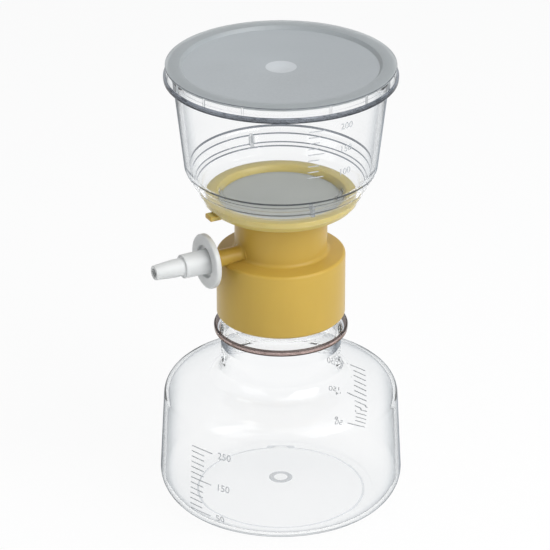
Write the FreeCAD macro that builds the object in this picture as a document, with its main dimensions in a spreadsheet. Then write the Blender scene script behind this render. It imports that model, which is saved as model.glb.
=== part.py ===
# Disposable bottle-top vacuum filter: a lidded clear upper chamber over a membrane, on a
# screw collar with a hose port, on a clear receiver bottle. Millimetres, +Z up. The origin
# is the middle of the receiver's foot ring, and the hose port points along -X.
import FreeCAD, Part

import math
import os

import Sketcher

# ---------------------------------------------------------------- driving dimensions
SIZES = {
    # receiver bottle
    "base_r": 50.0,  # widest radius, at the top of the heel
    "heel_round": 11.8,
    "foot_width": 3.2,  # flat ring that the bottle stands on
    "foot_lift": 0.4,  # height of the bottom just inside the foot ring
    "push_up": 3.6,  # height of the bottom's middle
    "gate_ring_r": 4.5,  # moulded ring in the middle of the bottom
    "gate_ring_width": 1.0,
    "gate_ring_depth": 0.5,
    "side_taper": 1.8,
    "side_top_z": 45.0,
    "shoulder_round": 8.0,
    "crown_round": 40.0,
    "root_round": 4.7,  # hollow round where the shoulder turns up into the neck
    "receiver_wall": 1.8,
    "neck_r": 24.6,
    "neck_height": 16.6,
    "bead_reach": 2.8,
    "bead_height": 1.7,
    "bead_round": 0.6,
    # threaded finish of the neck, and the room for its thread inside the collar
    "finish_r": 21.0,
    "finish_wall": 1.9,
    "finish_height": 21.5,
    "rim_chamfer": 0.4,
    "thread_depth": 1.3,
    "thread_gap": 0.45,
    # bottle gasket
    "gasket_height": 1.4,
    "gasket_gap": 0.1,
    "gasket_inset": 0.8,  # how far the gasket and its seat reach in past the bottle's bore
    "gasket_edge_gap": 0.4,
    # collar moulding
    "collar_lift": 4.4,  # from the bead's top to the collar's bottom edge
    "collar_wall": 3.45,
    "collar_chamfer": 1.1,
    "seat_rib_width": 2.9,
    "seat_rib_height": 6.2,
    "plate_wall": 3.0,
    "shoulder_edge_round": 1.3,
    "shoulder_rise": 0.7,
    "neck_tube_r": 18.8,
    "neck_tube_wall": 2.0,
    "neck_tube_height": 25.7,  # from the shoulder's edge to the flange's top
    "neck_tube_round": 1.7,
    # flange that carries the membrane and the upper chamber
    "flange_rim": 5.4,
    "flange_height": 2.0,
    "flange_foot_in": 1.2,
    "flange_foot_drop": 3.9,
    "flange_under_in": 2.4,
    "flange_under_drop": 4.7,
    "flange_root_drop": 7.9,
    "recess_depth": 2.4,  # from the flange's top to the membrane
    "recess_lip": 1.0,
    "recess_lip_height": 2.0,
    "ledge_width": 2.8,
    "bowl_depth": 5.4,  # fall of the collecting cone under the support grid
    "bowl_wall": 1.8,
    "drip_bore_r": 3.2,
    "drip_wall": 1.6,
    "drip_drop": 3.4,  # how far the drip tube hangs below the gasket's bottom
    "tab_in": 2.8,
    "tab_out": 2.2,
    "tab_width": 5.0,
    "tab_height": 2.0,
    "tab_drop": 5.3,
    # membrane and its support
    "membrane_r": 25.0,
    "membrane_height": 0.2,
    "membrane_gap": 0.4,
    "grid_height": 1.4,
    "slot_width": 1.0,
    "slot_inner_r": 4.5,
    "slot_land": 1.2,
    # side arm of the collar, and its cotton plug
    "port_rise": 2.4,  # from the shoulder's edge to the side arm's axis
    "port_r": 3.5,
    "port_bore_r": 1.9,
    "port_reach": 42.0,
    "port_chamfer": 0.4,
    "plug_length": 8.0,
    "plug_inset": 2.0,
    "plug_gap": 0.05,
    # hose adaptor on the side arm
    "socket_depth": 9.6,
    "socket_gap": 0.08,
    "socket_spare": 0.6,
    "socket_wall": 1.5,
    "disc_r": 11.3,
    "disc_height": 2.4,
    "disc_round": 0.7,
    "adaptor_body": 10.0,
    "adaptor_taper": 0.2,
    "nozzle_bore_r": 1.9,
    "nozzle_wall": 1.1,
    "nozzle_taper": 0.7,
    "nozzle_land": 4.0,
    "nozzle_length": 12.5,
    "nozzle_chamfer": 0.4,
    # upper chamber
    "chamber_height": 54.4,
    "chamber_top_r": 43.3,
    "chamber_wall": 1.5,
    "chamber_bead": 0.6,
    "chamber_bead_height": 2.1,
    "skirt_height": 2.0,
    "skirt_gap": 0.1,
    "skirt_wall": 0.6,
    "floor_rise": 0.6,
    "floor_wall": 1.4,
    "tread_run": 1.7,
    "tread_rise": 0.9,
    "riser_run": 0.8,
    "riser_rise": 3.5,
    "wall_foot_run": 0.6,
    "wall_foot_rise": 2.0,
    "clamp_ring_gap": 0.2,
    "clamp_ring_width": 1.6,
    # lid
    "lid_gap": 0.2,
    "lid_band": 1.3,
    "lid_band_width": 5.8,
    "lid_recess": 1.5,
    "lid_disc": 1.2,
    "lid_play": 0.9,
    "lid_skirt_wall": 1.2,
    "lid_skirt_height": 4.8,
    "lid_lip": 0.8,
    "lid_lip_height": 2.2,
    "lid_chamfer": 0.5,
    "lid_plug_gap": 0.6,
    "dimple_r": 6.2,
    "dimple_depth": 0.5,
    "rib_groups": 4.0,  # grip ribs stand in groups of three
    "rib_pitch": 22.5,  # degrees between the ribs of a group
    "rib_turn": 20.0,  # degrees from the side arm to the first group's middle rib
    "rib_width": 0.8,
    "rib_gap": 0.3,
    "rib_lift": 0.5,
}
SLOT_ROWS = (12, 24, 36)  # slots in each ring of the support grid
TRUE_TO = 0.01  # how closely an edge must lie where it is looked for

doc = FreeCAD.newDocument("vacuum_filtration_unit")
sheet = doc.addObject("Spreadsheet::Sheet", "sizes")


def write_cell(name, content):
    row = 1 + len(written)
    sheet.set(f"A{row}", name)
    sheet.set(f"B{row}", content)
    sheet.setAlias(f"B{row}", name)
    written.append(name)


written = []
for size_name, size_value in SIZES.items():
    write_cell(size_name, str(size_value))
doc.recompute()


# ---------------------------------------------------------------- sizes as expressions
class Size:
    """A number together with the expression that ties it to the sheet."""

    def __init__(self, value, text):
        self.value = float(value)
        self.text = text

    def __add__(self, other):
        other = as_size(other)
        return Size(self.value + other.value, f"({self.text} + {other.text})")

    def __sub__(self, other):
        other = as_size(other)
        return Size(self.value - other.value, f"({self.text} - {other.text})")

    def __mul__(self, other):
        other = as_size(other)
        return Size(self.value * other.value, f"({self.text} * {other.text})")

    def __truediv__(self, other):
        other = as_size(other)
        return Size(self.value / other.value, f"({self.text} / {other.text})")


class Sheet:
    """Gives each driving dimension by its alias."""

    def __getattr__(self, name):
        return Size(SIZES[name], f"sizes.{name}")


def as_size(number):
    return number if isinstance(number, Size) else Size(number, repr(float(number)))


def third_side(longest, other):
    """The remaining side of a right-angled triangle."""
    square = longest * longest - other * other
    return Size(math.sqrt(square.value), f"sqrt({square.text})")


def derive(name, size):
    """Writes a worked-out size into the sheet as a formula, and gives it back."""
    write_cell(name, "=" + size.text.replace("sizes.", ""))
    return Size(size.value, f"sizes.{name}")


S = Sheet()
NIL = as_size(0)

# ---------------------------------------------------------------- shared radii and levels
side_top_r = derive("side_top_r", S.base_r - S.side_taper)
shoulder_r = derive("shoulder_r", side_top_r - S.shoulder_round)
crown_r = derive("crown_r", S.neck_r + S.root_round)
crown_reach = derive("crown_reach", S.crown_round - S.shoulder_round)
crown_run = derive("crown_run", shoulder_r - crown_r)
crown_rise = derive("crown_rise", third_side(crown_reach, crown_run))
crown_z = derive("crown_z", S.side_top_z - crown_rise)
root_z = derive("root_z", crown_z + S.crown_round + S.root_round)
bead_bottom = derive("bead_bottom", root_z + S.neck_height)
bead_top = derive("bead_top", bead_bottom + S.bead_height)
rim_z = derive("rim_z", bead_top + S.finish_height)
finish_bore_r = derive("finish_bore_r", S.finish_r - S.finish_wall)

gasket_bottom = derive("gasket_bottom", rim_z + S.gasket_gap)
gasket_top = derive("gasket_top", gasket_bottom + S.gasket_height)
seat_z = derive("seat_z", gasket_top + S.gasket_gap)
seat_bore_r = derive("seat_bore_r", finish_bore_r - S.gasket_inset)

collar_bottom = derive("collar_bottom", bead_top + S.collar_lift)
collar_bore_r = derive("collar_bore_r", S.finish_r + S.thread_depth + S.thread_gap)
collar_r = derive("collar_r", collar_bore_r + S.collar_wall)
plate_under = derive("plate_under", seat_z + S.seat_rib_height)
shoulder_z = derive("shoulder_z", plate_under + S.plate_wall)
neck_bore_r = derive("neck_bore_r", S.neck_tube_r - S.neck_tube_wall)
flange_top = derive("flange_top", shoulder_z + S.neck_tube_height)
port_z = derive("port_z", shoulder_z + S.port_rise)

recess_r = derive("recess_r", S.membrane_r + S.membrane_gap)
flange_r = derive("flange_r", recess_r + S.flange_rim)
membrane_top = derive("membrane_top", flange_top - S.recess_depth)
membrane_bottom = derive("membrane_bottom", membrane_top - S.membrane_height)
grid_bottom = derive("grid_bottom", membrane_bottom - S.grid_height)
bowl_r = derive("bowl_r", recess_r - S.ledge_width)
drip_r = derive("drip_r", S.drip_bore_r + S.drip_wall)
drip_bottom = derive("drip_bottom", gasket_bottom - S.drip_drop)

chamber_top = derive("chamber_top", flange_top + S.chamber_height)
chamber_bead_r = derive("chamber_bead_r", S.chamber_top_r + S.chamber_bead)
chamber_bore_r = derive("chamber_bore_r", S.chamber_top_r - S.chamber_wall)


# ---------------------------------------------------------------- modelling helpers
def origin_part(body, role):
    return next(part for part in body.Origin.OriginFeatures if part.Role == role)


def bind(feature, name, size):
    """Sets a feature's size and ties it to the sheet."""
    setattr(feature, name, size.value)
    feature.setExpression(name, size.text)


def new_sketch(body, name, plane, offset=NIL):
    sketch = body.newObject("Sketcher::SketchObject", name)
    sketch.AttachmentSupport = [(origin_part(body, plane), "")]
    sketch.MapMode = "FlatFace"
    sketch.setExpression("AttachmentOffset.Base.z", offset.text)
    return sketch


def turn_sketch(sketch, angle):
    """Turns a sketch in its plane, by an angle in degrees."""
    axis = FreeCAD.Vector(0, 0, 1)
    offset = sketch.AttachmentOffset
    offset.Rotation = FreeCAD.Rotation(axis, angle.value)
    sketch.AttachmentOffset = offset
    sketch.setExpression("AttachmentOffset.Rotation.Angle", angle.text)


def fix(sketch, kind, *where, size):
    """Adds one driving dimension, tied to the sheet."""
    index = sketch.addConstraint(Sketcher.Constraint(kind, *where, size.value))
    sketch.setExpression(f"Constraints[{index}]", size.text)


def fix_point(sketch, edge, end, across, up):
    """Places a point of a sketch from the sketch's origin."""
    for kind, size, axis in (("DistanceX", across, -2), ("DistanceY", up, -1)):
        if size is NIL:
            sketch.addConstraint(Sketcher.Constraint("PointOnObject", edge, end, axis))
        else:
            fix(sketch, kind, -1, 1, edge, end, size=size)


def flat(across, up):
    return FreeCAD.Vector(across.value, up.value, 0)


def shorter_arc(start, end, centre, radius):
    """The shorter arc from start to end, and the numbers of its two ends in that order."""
    first = math.atan2(start.y - centre.y, start.x - centre.x)
    last = math.atan2(end.y - centre.y, end.x - centre.x)
    circle = Part.Circle(centre, FreeCAD.Vector(0, 0, 1), radius)
    if (last - first) % math.tau < math.pi:
        return Part.ArcOfCircle(circle, first, last), 1, 2
    return Part.ArcOfCircle(circle, last, first), 2, 1


def draw_loop(sketch, steps):
    """Closes a loop. A step is the corner it ends at, (r, z), or for an arc the corner,
    the arc's centre and its radius, (r, z, centre r, centre z, radius)."""
    corners = [flat(*step[:2]) for step in steps]
    edges = []
    for index, step in enumerate(steps):
        start = corners[index - 1]
        end = corners[index]
        if len(step) == 2:
            edges.append((sketch.addGeometry(Part.LineSegment(start, end), False), 1, 2))
            continue
        arc, first, last = shorter_arc(start, end, flat(*step[2:4]), step[4].value)
        edges.append((sketch.addGeometry(arc, False), first, last))
    for index, (edge, first, last) in enumerate(edges):
        before = edges[index - 1]
        sketch.addConstraint(Sketcher.Constraint("Coincident", before[0], before[2], edge, first))
    for (edge, first, last), step in zip(edges, steps):
        fix_point(sketch, edge, last, step[0], step[1])
        if len(step) > 2:
            fix(sketch, "Radius", edge, size=step[4])


def draw_circle(sketch, across, up, radius):
    circle = Part.Circle(flat(across, up), FreeCAD.Vector(0, 0, 1), radius.value)
    edge = sketch.addGeometry(circle, False)
    fix_point(sketch, edge, 3, across, up)
    fix(sketch, "Radius", edge, size=radius)


def draw_spoke(sketch, near, far, width):
    """A rectangle that lies along -X, from radius near to radius far."""
    half = width.value / 2
    corners = [
        FreeCAD.Vector(-near.value, -half, 0),
        FreeCAD.Vector(-near.value, half, 0),
        FreeCAD.Vector(-far.value, half, 0),
        FreeCAD.Vector(-far.value, -half, 0),
    ]
    for index, corner in enumerate(corners):
        following = corners[(index + 1) % len(corners)]
        sketch.addGeometry(Part.LineSegment(corner, following), False)
    for index in range(len(corners)):
        following = (index + 1) % len(corners)
        sketch.addConstraint(Sketcher.Constraint("Coincident", index, 2, following, 1))
    for index, kind in ((1, "Horizontal"), (2, "Vertical"), (3, "Horizontal")):
        sketch.addConstraint(Sketcher.Constraint(kind, index))
    sketch.addConstraint(Sketcher.Constraint("Symmetric", 0, 1, 0, 2, -1))
    fix(sketch, "DistanceX", 0, 1, -1, 1, size=near)
    fix(sketch, "DistanceX", 2, 1, -1, 1, size=far)
    fix(sketch, "DistanceY", 0, 1, 0, 2, size=width)


def finished(body, feature):
    """Recomputes a new feature and makes sure that it changed the solid."""
    before = feature.BaseFeature.Shape.Volume if feature.BaseFeature else 0.0
    doc.recompute()
    if feature.Shape.isNull() or abs(feature.Shape.Volume - before) < TRUE_TO:
        raise RuntimeError(f"{body.Name}: {feature.Name} changed nothing")
    return feature


def turn(body, kind, name, steps):
    """A Revolution or a Groove of a closed section round the body's Z axis."""
    sketch = new_sketch(body, f"{name}_section", "XZ_Plane")
    draw_loop(sketch, steps)
    feature = body.newObject(f"PartDesign::{kind}", name)
    feature.Profile = sketch
    feature.ReferenceAxis = (sketch, ["V_Axis"])
    feature.Angle = 360
    return finished(body, feature)


def extrude(body, kind, name, sketch, length, backwards):
    """A Pad or a Pocket of a sketch."""
    feature = body.newObject(f"PartDesign::{kind}", name)
    feature.Profile = sketch
    feature.Reversed = backwards
    bind(feature, "Length", length)
    return finished(body, feature)


def ring_edge(shape, radius, place):
    """The name of the circular edge with the given radius and centre."""
    for number, edge in enumerate(shape.Edges, 1):
        if edge.Degenerated or not isinstance(edge.Curve, Part.Circle):
            continue
        near = abs(edge.Curve.Radius - radius.value) < TRUE_TO
        if near and edge.Curve.Center.distanceToPoint(place) < TRUE_TO:
            return f"Edge{number}"
    raise RuntimeError(f"no edge of radius {radius.value} at {place}")


def ease(body, kind, name, size, edges):
    """A Fillet or a Chamfer on edges of the body's newest feature."""
    base = body.Tip
    feature = body.newObject(f"PartDesign::{kind}", name)
    feature.Base = (base, edges)
    bind(feature, {"Fillet": "Radius", "Chamfer": "Size"}[kind], size)
    return finished(body, feature)


def ease_rings(body, kind, name, size, rings):
    """A Fillet or a Chamfer on the ring edges at the given (r, z) places."""
    edges = [ring_edge(body.Tip.Shape, r, FreeCAD.Vector(0, 0, z.value)) for r, z in rings]
    return ease(body, kind, name, size, edges)


def repeat_round(body, name, feature, count):
    """Copies of a feature round the body's Z axis."""
    pattern = body.newObject("PartDesign::PolarPattern", name)
    pattern.Originals = [feature]
    pattern.Axis = (origin_part(body, "Z_Axis"), [""])
    pattern.Angle = 360
    pattern.Occurrences = count
    body.Tip = pattern
    return finished(body, pattern)


def point_along_port(item, start):
    """Turns a piece made along its own +Z to point out along the side arm."""
    item.Placement = FreeCAD.Placement(
        FreeCAD.Vector(-start.value, 0, port_z.value),
        FreeCAD.Rotation(FreeCAD.Vector(0, 1, 0), -90),
    )
    item.setExpression("Placement.Base.x", (NIL - start).text)
    item.setExpression("Placement.Base.z", port_z.text)


# ---------------------------------------------------------------- receiver bottle
def make_receiver():
    """Bottle: foot ring, heel, tapered side, arched shoulder, bead and neck finish."""
    body = doc.addObject("PartDesign::Body", "receiver")
    wall = S.receiver_wall
    heel_r = S.base_r - S.heel_round
    foot_r = heel_r - S.foot_width
    dome_r = foot_r - S.foot_lift
    dome_rise = S.push_up - S.foot_lift
    dome_round = (dome_r * dome_r + dome_rise * dome_rise) / (dome_rise * 2)
    crown_top = crown_z + S.crown_round
    # where the shoulder's round runs into the crown's arc, as a share of the reach
    turn_run = crown_run / crown_reach
    turn_rise = crown_rise / crown_reach
    inner_round = S.shoulder_round - wall
    bead_r = S.neck_r + S.bead_reach
    bottle_neck_bore_r = S.neck_r - wall
    turn(body, "Revolution", "bottle", [
        (NIL, S.push_up),
        (dome_r, S.foot_lift, NIL, S.push_up - dome_round, dome_round),
        (foot_r, NIL),
        (heel_r, NIL),
        (S.base_r, S.heel_round, heel_r, S.heel_round, S.heel_round),
        (side_top_r, S.side_top_z),
        (shoulder_r + S.shoulder_round * turn_run, S.side_top_z + S.shoulder_round * turn_rise,
         shoulder_r, S.side_top_z, S.shoulder_round),
        (crown_r, crown_top, crown_r, crown_z, S.crown_round),
        (S.neck_r, root_z, crown_r, root_z, S.root_round),
        (S.neck_r, bead_bottom),
        (bead_r, bead_bottom),
        (bead_r, bead_top),
        (S.finish_r, bead_top),
        (S.finish_r, rim_z),
        (finish_bore_r, rim_z),
        (finish_bore_r, bead_bottom),
        (bottle_neck_bore_r, bead_bottom - wall),
        (bottle_neck_bore_r, root_z),
        (crown_r, crown_top - wall, crown_r, root_z, S.root_round + wall),
        (shoulder_r + inner_round * turn_run, S.side_top_z + inner_round * turn_rise,
         crown_r, crown_z, S.crown_round - wall),
        (side_top_r - wall, S.side_top_z, shoulder_r, S.side_top_z, inner_round),
        (S.base_r - wall, S.heel_round),
        (heel_r, wall, heel_r, S.heel_round, S.heel_round - wall),
        (foot_r, wall),
        (dome_r, S.foot_lift + wall),
        (NIL, S.push_up + wall, NIL, S.push_up + wall - dome_round, dome_round),
    ])
    bead_edges = [(bead_r, bead_bottom), (bead_r, bead_top)]
    ease_rings(body, "Fillet", "bead_round", S.bead_round, bead_edges)
    rim_edges = [(S.finish_r, rim_z), (finish_bore_r, rim_z)]
    ease_rings(body, "Chamfer", "rim_chamfer", S.rim_chamfer, rim_edges)
    gate_inner_r = S.gate_ring_r - S.gate_ring_width / 2
    gate_outer_r = S.gate_ring_r + S.gate_ring_width / 2
    turn(body, "Revolution", "gate_ring", [
        (gate_inner_r, S.push_up - S.gate_ring_depth),
        (gate_outer_r, S.push_up - S.gate_ring_depth),
        (gate_outer_r, S.push_up + S.gate_ring_depth),
        (gate_inner_r, S.push_up + S.gate_ring_depth),
    ])
    return body


# ---------------------------------------------------------------- bottle gasket
def make_bottle_gasket():
    """Flat ring between the bottle's rim and the seat inside the collar."""
    body = doc.addObject("PartDesign::Body", "bottle_gasket")
    edge_r = collar_bore_r - S.gasket_edge_gap
    turn(body, "Revolution", "ring", [
        (seat_bore_r, gasket_bottom),
        (edge_r, gasket_bottom),
        (edge_r, gasket_top),
        (seat_bore_r, gasket_top),
    ])
    return body


# ---------------------------------------------------------------- collar moulding
def make_collar():
    """Screw collar, hollow neck, side arm, drip tube and membrane flange in one moulding."""
    body = doc.addObject("PartDesign::Body", "collar")
    edge_r = collar_r - S.shoulder_edge_round
    edge_z = shoulder_z - S.shoulder_edge_round
    tube_foot_r = S.neck_tube_r + S.neck_tube_round
    tube_foot_z = shoulder_z + S.shoulder_rise
    tube_start_z = tube_foot_z + S.neck_tube_round
    turn(body, "Revolution", "outside", [
        (NIL, collar_bottom),
        (collar_r - S.collar_chamfer, collar_bottom),
        (collar_r, collar_bottom + S.collar_chamfer),
        (collar_r, edge_z),
        (edge_r, shoulder_z, edge_r, edge_z, S.shoulder_edge_round),
        (tube_foot_r, tube_foot_z),
        (S.neck_tube_r, tube_start_z, tube_foot_r, tube_start_z, S.neck_tube_round),
        (S.neck_tube_r, flange_top - S.flange_root_drop),
        (flange_r - S.flange_under_in, flange_top - S.flange_under_drop),
        (flange_r - S.flange_foot_in, flange_top - S.flange_foot_drop),
        (flange_r, flange_top - S.flange_height),
        (flange_r, flange_top),
        (NIL, flange_top),
    ])

    arm = new_sketch(body, "side_arm_section", "YZ_Plane")
    draw_circle(arm, NIL, port_z, S.port_r)
    extrude(body, "Pad", "side_arm", arm, S.port_reach, True)
    tip = FreeCAD.Vector(-S.port_reach.value, 0, port_z.value)
    tip_edge = ring_edge(body.Tip.Shape, S.port_r, tip)
    ease(body, "Chamfer", "side_arm_tip", S.port_chamfer, [tip_edge])

    tab = new_sketch(body, "tab_section", "XY_Plane", flange_top - S.tab_drop)
    draw_spoke(tab, flange_r - S.tab_in, flange_r + S.tab_out, S.tab_width)
    extrude(body, "Pad", "tab", tab, S.tab_height, False)

    # the cone's underside keeps the bowl's slope, one wall below it
    slope = S.bowl_depth / (bowl_r - S.drip_bore_r)
    cone_under = grid_bottom - S.bowl_wall
    seat_rib_r = seat_bore_r + S.seat_rib_width
    half_wall = S.neck_tube_wall / 2
    turn(body, "Groove", "hollow", [
        (NIL, collar_bottom),
        (collar_bore_r, collar_bottom),
        (collar_bore_r, plate_under),
        (seat_rib_r, plate_under),
        (seat_rib_r, seat_z),
        (seat_bore_r, seat_z),
        (seat_bore_r, plate_under - half_wall),
        (neck_bore_r, plate_under + half_wall),
        (neck_bore_r, cone_under - slope * (bowl_r - neck_bore_r)),
        (drip_r, cone_under - slope * (bowl_r - drip_r)),
        (drip_r, drip_bottom),
        (NIL, drip_bottom),
    ])
    turn(body, "Groove", "bowl", [
        (NIL, flange_top),
        (recess_r + S.recess_lip, flange_top),
        (recess_r, flange_top - S.recess_lip_height),
        (recess_r, grid_bottom),
        (bowl_r, grid_bottom),
        (S.drip_bore_r, grid_bottom - S.bowl_depth),
        (S.drip_bore_r, drip_bottom),
        (NIL, drip_bottom),
    ])

    # the bore starts in the hollow between the drip tube and the neck's wall
    bore_start = (drip_r + neck_bore_r) / 2
    bore = new_sketch(body, "side_arm_bore_section", "YZ_Plane", NIL - bore_start)
    draw_circle(bore, NIL, port_z, S.port_bore_r)
    extrude(body, "Pocket", "side_arm_bore", bore, S.port_reach, False)
    return body


# ---------------------------------------------------------------- membrane and its support
def make_support_grid():
    """Slotted disc that holds the membrane flat and lets the filtrate through."""
    body = doc.addObject("PartDesign::Body", "support_grid")
    turn(body, "Revolution", "disc", [
        (NIL, grid_bottom),
        (S.membrane_r, grid_bottom),
        (S.membrane_r, membrane_bottom),
        (NIL, membrane_bottom),
    ])
    rows = len(SLOT_ROWS)
    slotted = S.membrane_r - S.ledge_width - S.slot_inner_r
    slot_length = (slotted - S.slot_land * (rows - 1)) / rows
    for row, count in enumerate(SLOT_ROWS):
        near = S.slot_inner_r + (slot_length + S.slot_land) * row
        sketch = new_sketch(body, f"slot_{row}_section", "XY_Plane", grid_bottom)
        draw_spoke(sketch, near, near + slot_length, S.slot_width)
        slot = extrude(body, "Pocket", f"slot_{row}", sketch, S.grid_height, True)
        repeat_round(body, f"slots_{row}", slot, count)
    return body


def make_membrane():
    """Round filter membrane, lying on the support grid."""
    body = doc.addObject("PartDesign::Body", "membrane")
    turn(body, "Revolution", "disc", [
        (NIL, membrane_bottom),
        (S.membrane_r, membrane_bottom),
        (S.membrane_r, membrane_top),
        (NIL, membrane_top),
    ])
    return body


# ---------------------------------------------------------------- upper chamber
def make_upper_chamber():
    """Clear stepped funnel that sits over the collar's flange and clamps the membrane."""
    body = doc.addObject("PartDesign::Body", "upper_chamber")
    skirt_bore_r = flange_r + S.skirt_gap
    skirt_r = skirt_bore_r + S.skirt_wall
    skirt_bottom = flange_top - S.skirt_height
    clamp_r = recess_r - S.clamp_ring_gap
    mouth_r = clamp_r - S.clamp_ring_width
    bead_foot_z = chamber_top - S.chamber_bead_height
    stairs = [
        (S.tread_run, S.tread_rise),
        (S.riser_run, S.riser_rise),
        (S.tread_run, S.tread_rise),
        (S.riser_run, S.riser_rise),
        (S.tread_run, S.tread_rise),
        (S.wall_foot_run, S.wall_foot_rise),
    ]
    outside = [(skirt_r, flange_top + S.floor_rise)]
    for run, rise in stairs:
        outside.append((outside[-1][0] + run, outside[-1][1] + rise))
    inside = [(r - S.tread_run, z + S.tread_rise) for r, z in outside]
    turn(body, "Revolution", "funnel", [
        (mouth_r, membrane_top),
        (clamp_r, membrane_top),
        (clamp_r, flange_top),
        (skirt_bore_r, flange_top),
        (skirt_bore_r, skirt_bottom),
        (skirt_r, skirt_bottom),
        *outside,
        (S.chamber_top_r, bead_foot_z - S.chamber_bead),
        (chamber_bead_r, bead_foot_z),
        (chamber_bead_r, chamber_top),
        (chamber_bore_r, chamber_top),
        *reversed(inside),
        (mouth_r, flange_top + S.floor_wall),
    ])
    return body


# ---------------------------------------------------------------- lid
def make_lid():
    """Clear push-on lid: recessed disc, raised rim band, lipped skirt and grip ribs."""
    body = doc.addObject("PartDesign::Body", "lid")
    band_under = chamber_top + S.lid_gap
    lid_top = band_under + S.lid_band
    disc_top = lid_top - S.lid_recess
    disc_under = disc_top - S.lid_disc
    skirt_bore_r = chamber_bead_r + S.lid_play
    skirt_r = skirt_bore_r + S.lid_skirt_wall
    skirt_bottom = band_under - S.lid_skirt_height
    lip_r = skirt_r + S.lid_lip
    lip_top = skirt_bottom + S.lid_lip_height
    plug_r = chamber_bore_r - S.lid_plug_gap
    recess_edge_r = skirt_r - S.lid_band_width
    floor_r = S.dimple_r - S.dimple_depth
    turn(body, "Revolution", "cover", [
        (NIL, disc_under - S.dimple_depth),
        (floor_r, disc_under - S.dimple_depth),
        (S.dimple_r, disc_under),
        (plug_r - S.lid_chamfer, disc_under),
        (plug_r, band_under),
        (skirt_bore_r, band_under),
        (skirt_bore_r, skirt_bottom),
        (lip_r, skirt_bottom),
        (lip_r, lip_top - S.lid_chamfer),
        (skirt_r, lip_top),
        (skirt_r, lid_top),
        (recess_edge_r, lid_top),
        (recess_edge_r - S.lid_chamfer, disc_top),
        (S.dimple_r, disc_top),
        (floor_r, disc_top - S.dimple_depth),
        (NIL, disc_top - S.dimple_depth),
    ])
    eased = [(skirt_r, lid_top), (lip_r, skirt_bottom)]
    ease_rings(body, "Chamfer", "rim_chamfer", S.lid_chamfer, eased)
    rib_bottom = skirt_bottom + S.rib_lift
    rib_foot_r = skirt_bore_r + S.lid_skirt_wall / 2
    for name, place in (("left", -1), ("middle", 0), ("right", 1)):
        sketch = new_sketch(body, f"{name}_rib_section", "XY_Plane", rib_bottom)
        turn_sketch(sketch, S.rib_pitch * place)
        draw_spoke(sketch, chamber_bead_r + S.rib_gap, rib_foot_r, S.rib_width)
        rib = extrude(body, "Pad", f"{name}_rib", sketch, band_under - rib_bottom, False)
        repeat_round(body, f"{name}_ribs", rib, int(S.rib_groups.value))
    body.Placement = FreeCAD.Placement(
        FreeCAD.Vector(), FreeCAD.Rotation(FreeCAD.Vector(0, 0, 1), S.rib_turn.value)
    )
    body.setExpression("Placement.Rotation.Angle", S.rib_turn.text)
    return body


# ---------------------------------------------------------------- hose adaptor and plug
def make_tubing_adaptor():
    """Push-on hose adaptor: socket, grip disc, body and tapered nozzle."""
    body = doc.addObject("PartDesign::Body", "tubing_adaptor")
    socket_r = S.port_r + S.socket_gap
    socket_end = S.socket_depth + S.socket_spare
    barrel_r = socket_r + S.socket_wall
    barrel_end = S.disc_height + S.adaptor_body
    barrel_tip_r = barrel_r - S.adaptor_taper
    nozzle_tip_r = S.nozzle_bore_r + S.nozzle_wall
    nozzle_root_r = nozzle_tip_r + S.nozzle_taper
    nozzle_end = barrel_end + S.nozzle_length
    turn(body, "Revolution", "adaptor", [
        (socket_r, NIL),
        (S.disc_r, NIL),
        (S.disc_r, S.disc_height),
        (barrel_r, S.disc_height),
        (barrel_tip_r, barrel_end),
        (nozzle_root_r, barrel_end),
        (nozzle_root_r, barrel_end + S.nozzle_land),
        (nozzle_tip_r, nozzle_end),
        (S.nozzle_bore_r, nozzle_end),
        (S.nozzle_bore_r, socket_end),
        (socket_r, socket_end),
    ])
    disc_edges = [(S.disc_r, NIL), (S.disc_r, S.disc_height)]
    ease_rings(body, "Fillet", "disc_round", S.disc_round, disc_edges)
    tips = [(nozzle_tip_r, nozzle_end), (barrel_tip_r, barrel_end)]
    ease_rings(body, "Chamfer", "tip_chamfer", S.nozzle_chamfer, tips)
    point_along_port(body, S.port_reach - S.socket_depth)
    return body


def make_cotton_plug():
    """Round cotton plug in the side arm's bore."""
    plug = doc.addObject("Part::Cylinder", "cotton_plug")
    bind(plug, "Radius", S.port_bore_r - S.plug_gap)
    bind(plug, "Height", S.plug_length)
    point_along_port(plug, S.port_reach - S.plug_inset - S.plug_length)
    return plug


# ---------------------------------------------------------------- build, check and write
parts = [
    make_receiver(),
    make_bottle_gasket(),
    make_collar(),
    make_support_grid(),
    make_membrane(),
    make_upper_chamber(),
    make_lid(),
    make_tubing_adaptor(),
    make_cotton_plug(),
]
doc.recompute()

for item in doc.Objects:
    if {"Invalid", "Error", "Touched"} & set(item.State):
        raise RuntimeError(f"{item.Name} failed: {item.State}")

os.makedirs("parts", exist_ok=True)
for part in parts:
    part.Label = part.Name
    shape = part.Shape
    if shape.isNull() or not shape.isValid() or len(shape.Solids) != 1:
        raise RuntimeError(f"{part.Name} isn't one valid solid")
for part in parts:
    part.Shape.exportStep(f"parts/{part.Name}.step")
    print(f"{part.Name}: {part.Shape.Volume / 1000:.2f} cm3")
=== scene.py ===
# Dresses the packed vacuum filtration unit: clear bottle, chamber and lid, yellow collar
# with its side arm and hose adaptor, membrane, marks and stage. Metres, in the frame's axes.
import math

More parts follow.
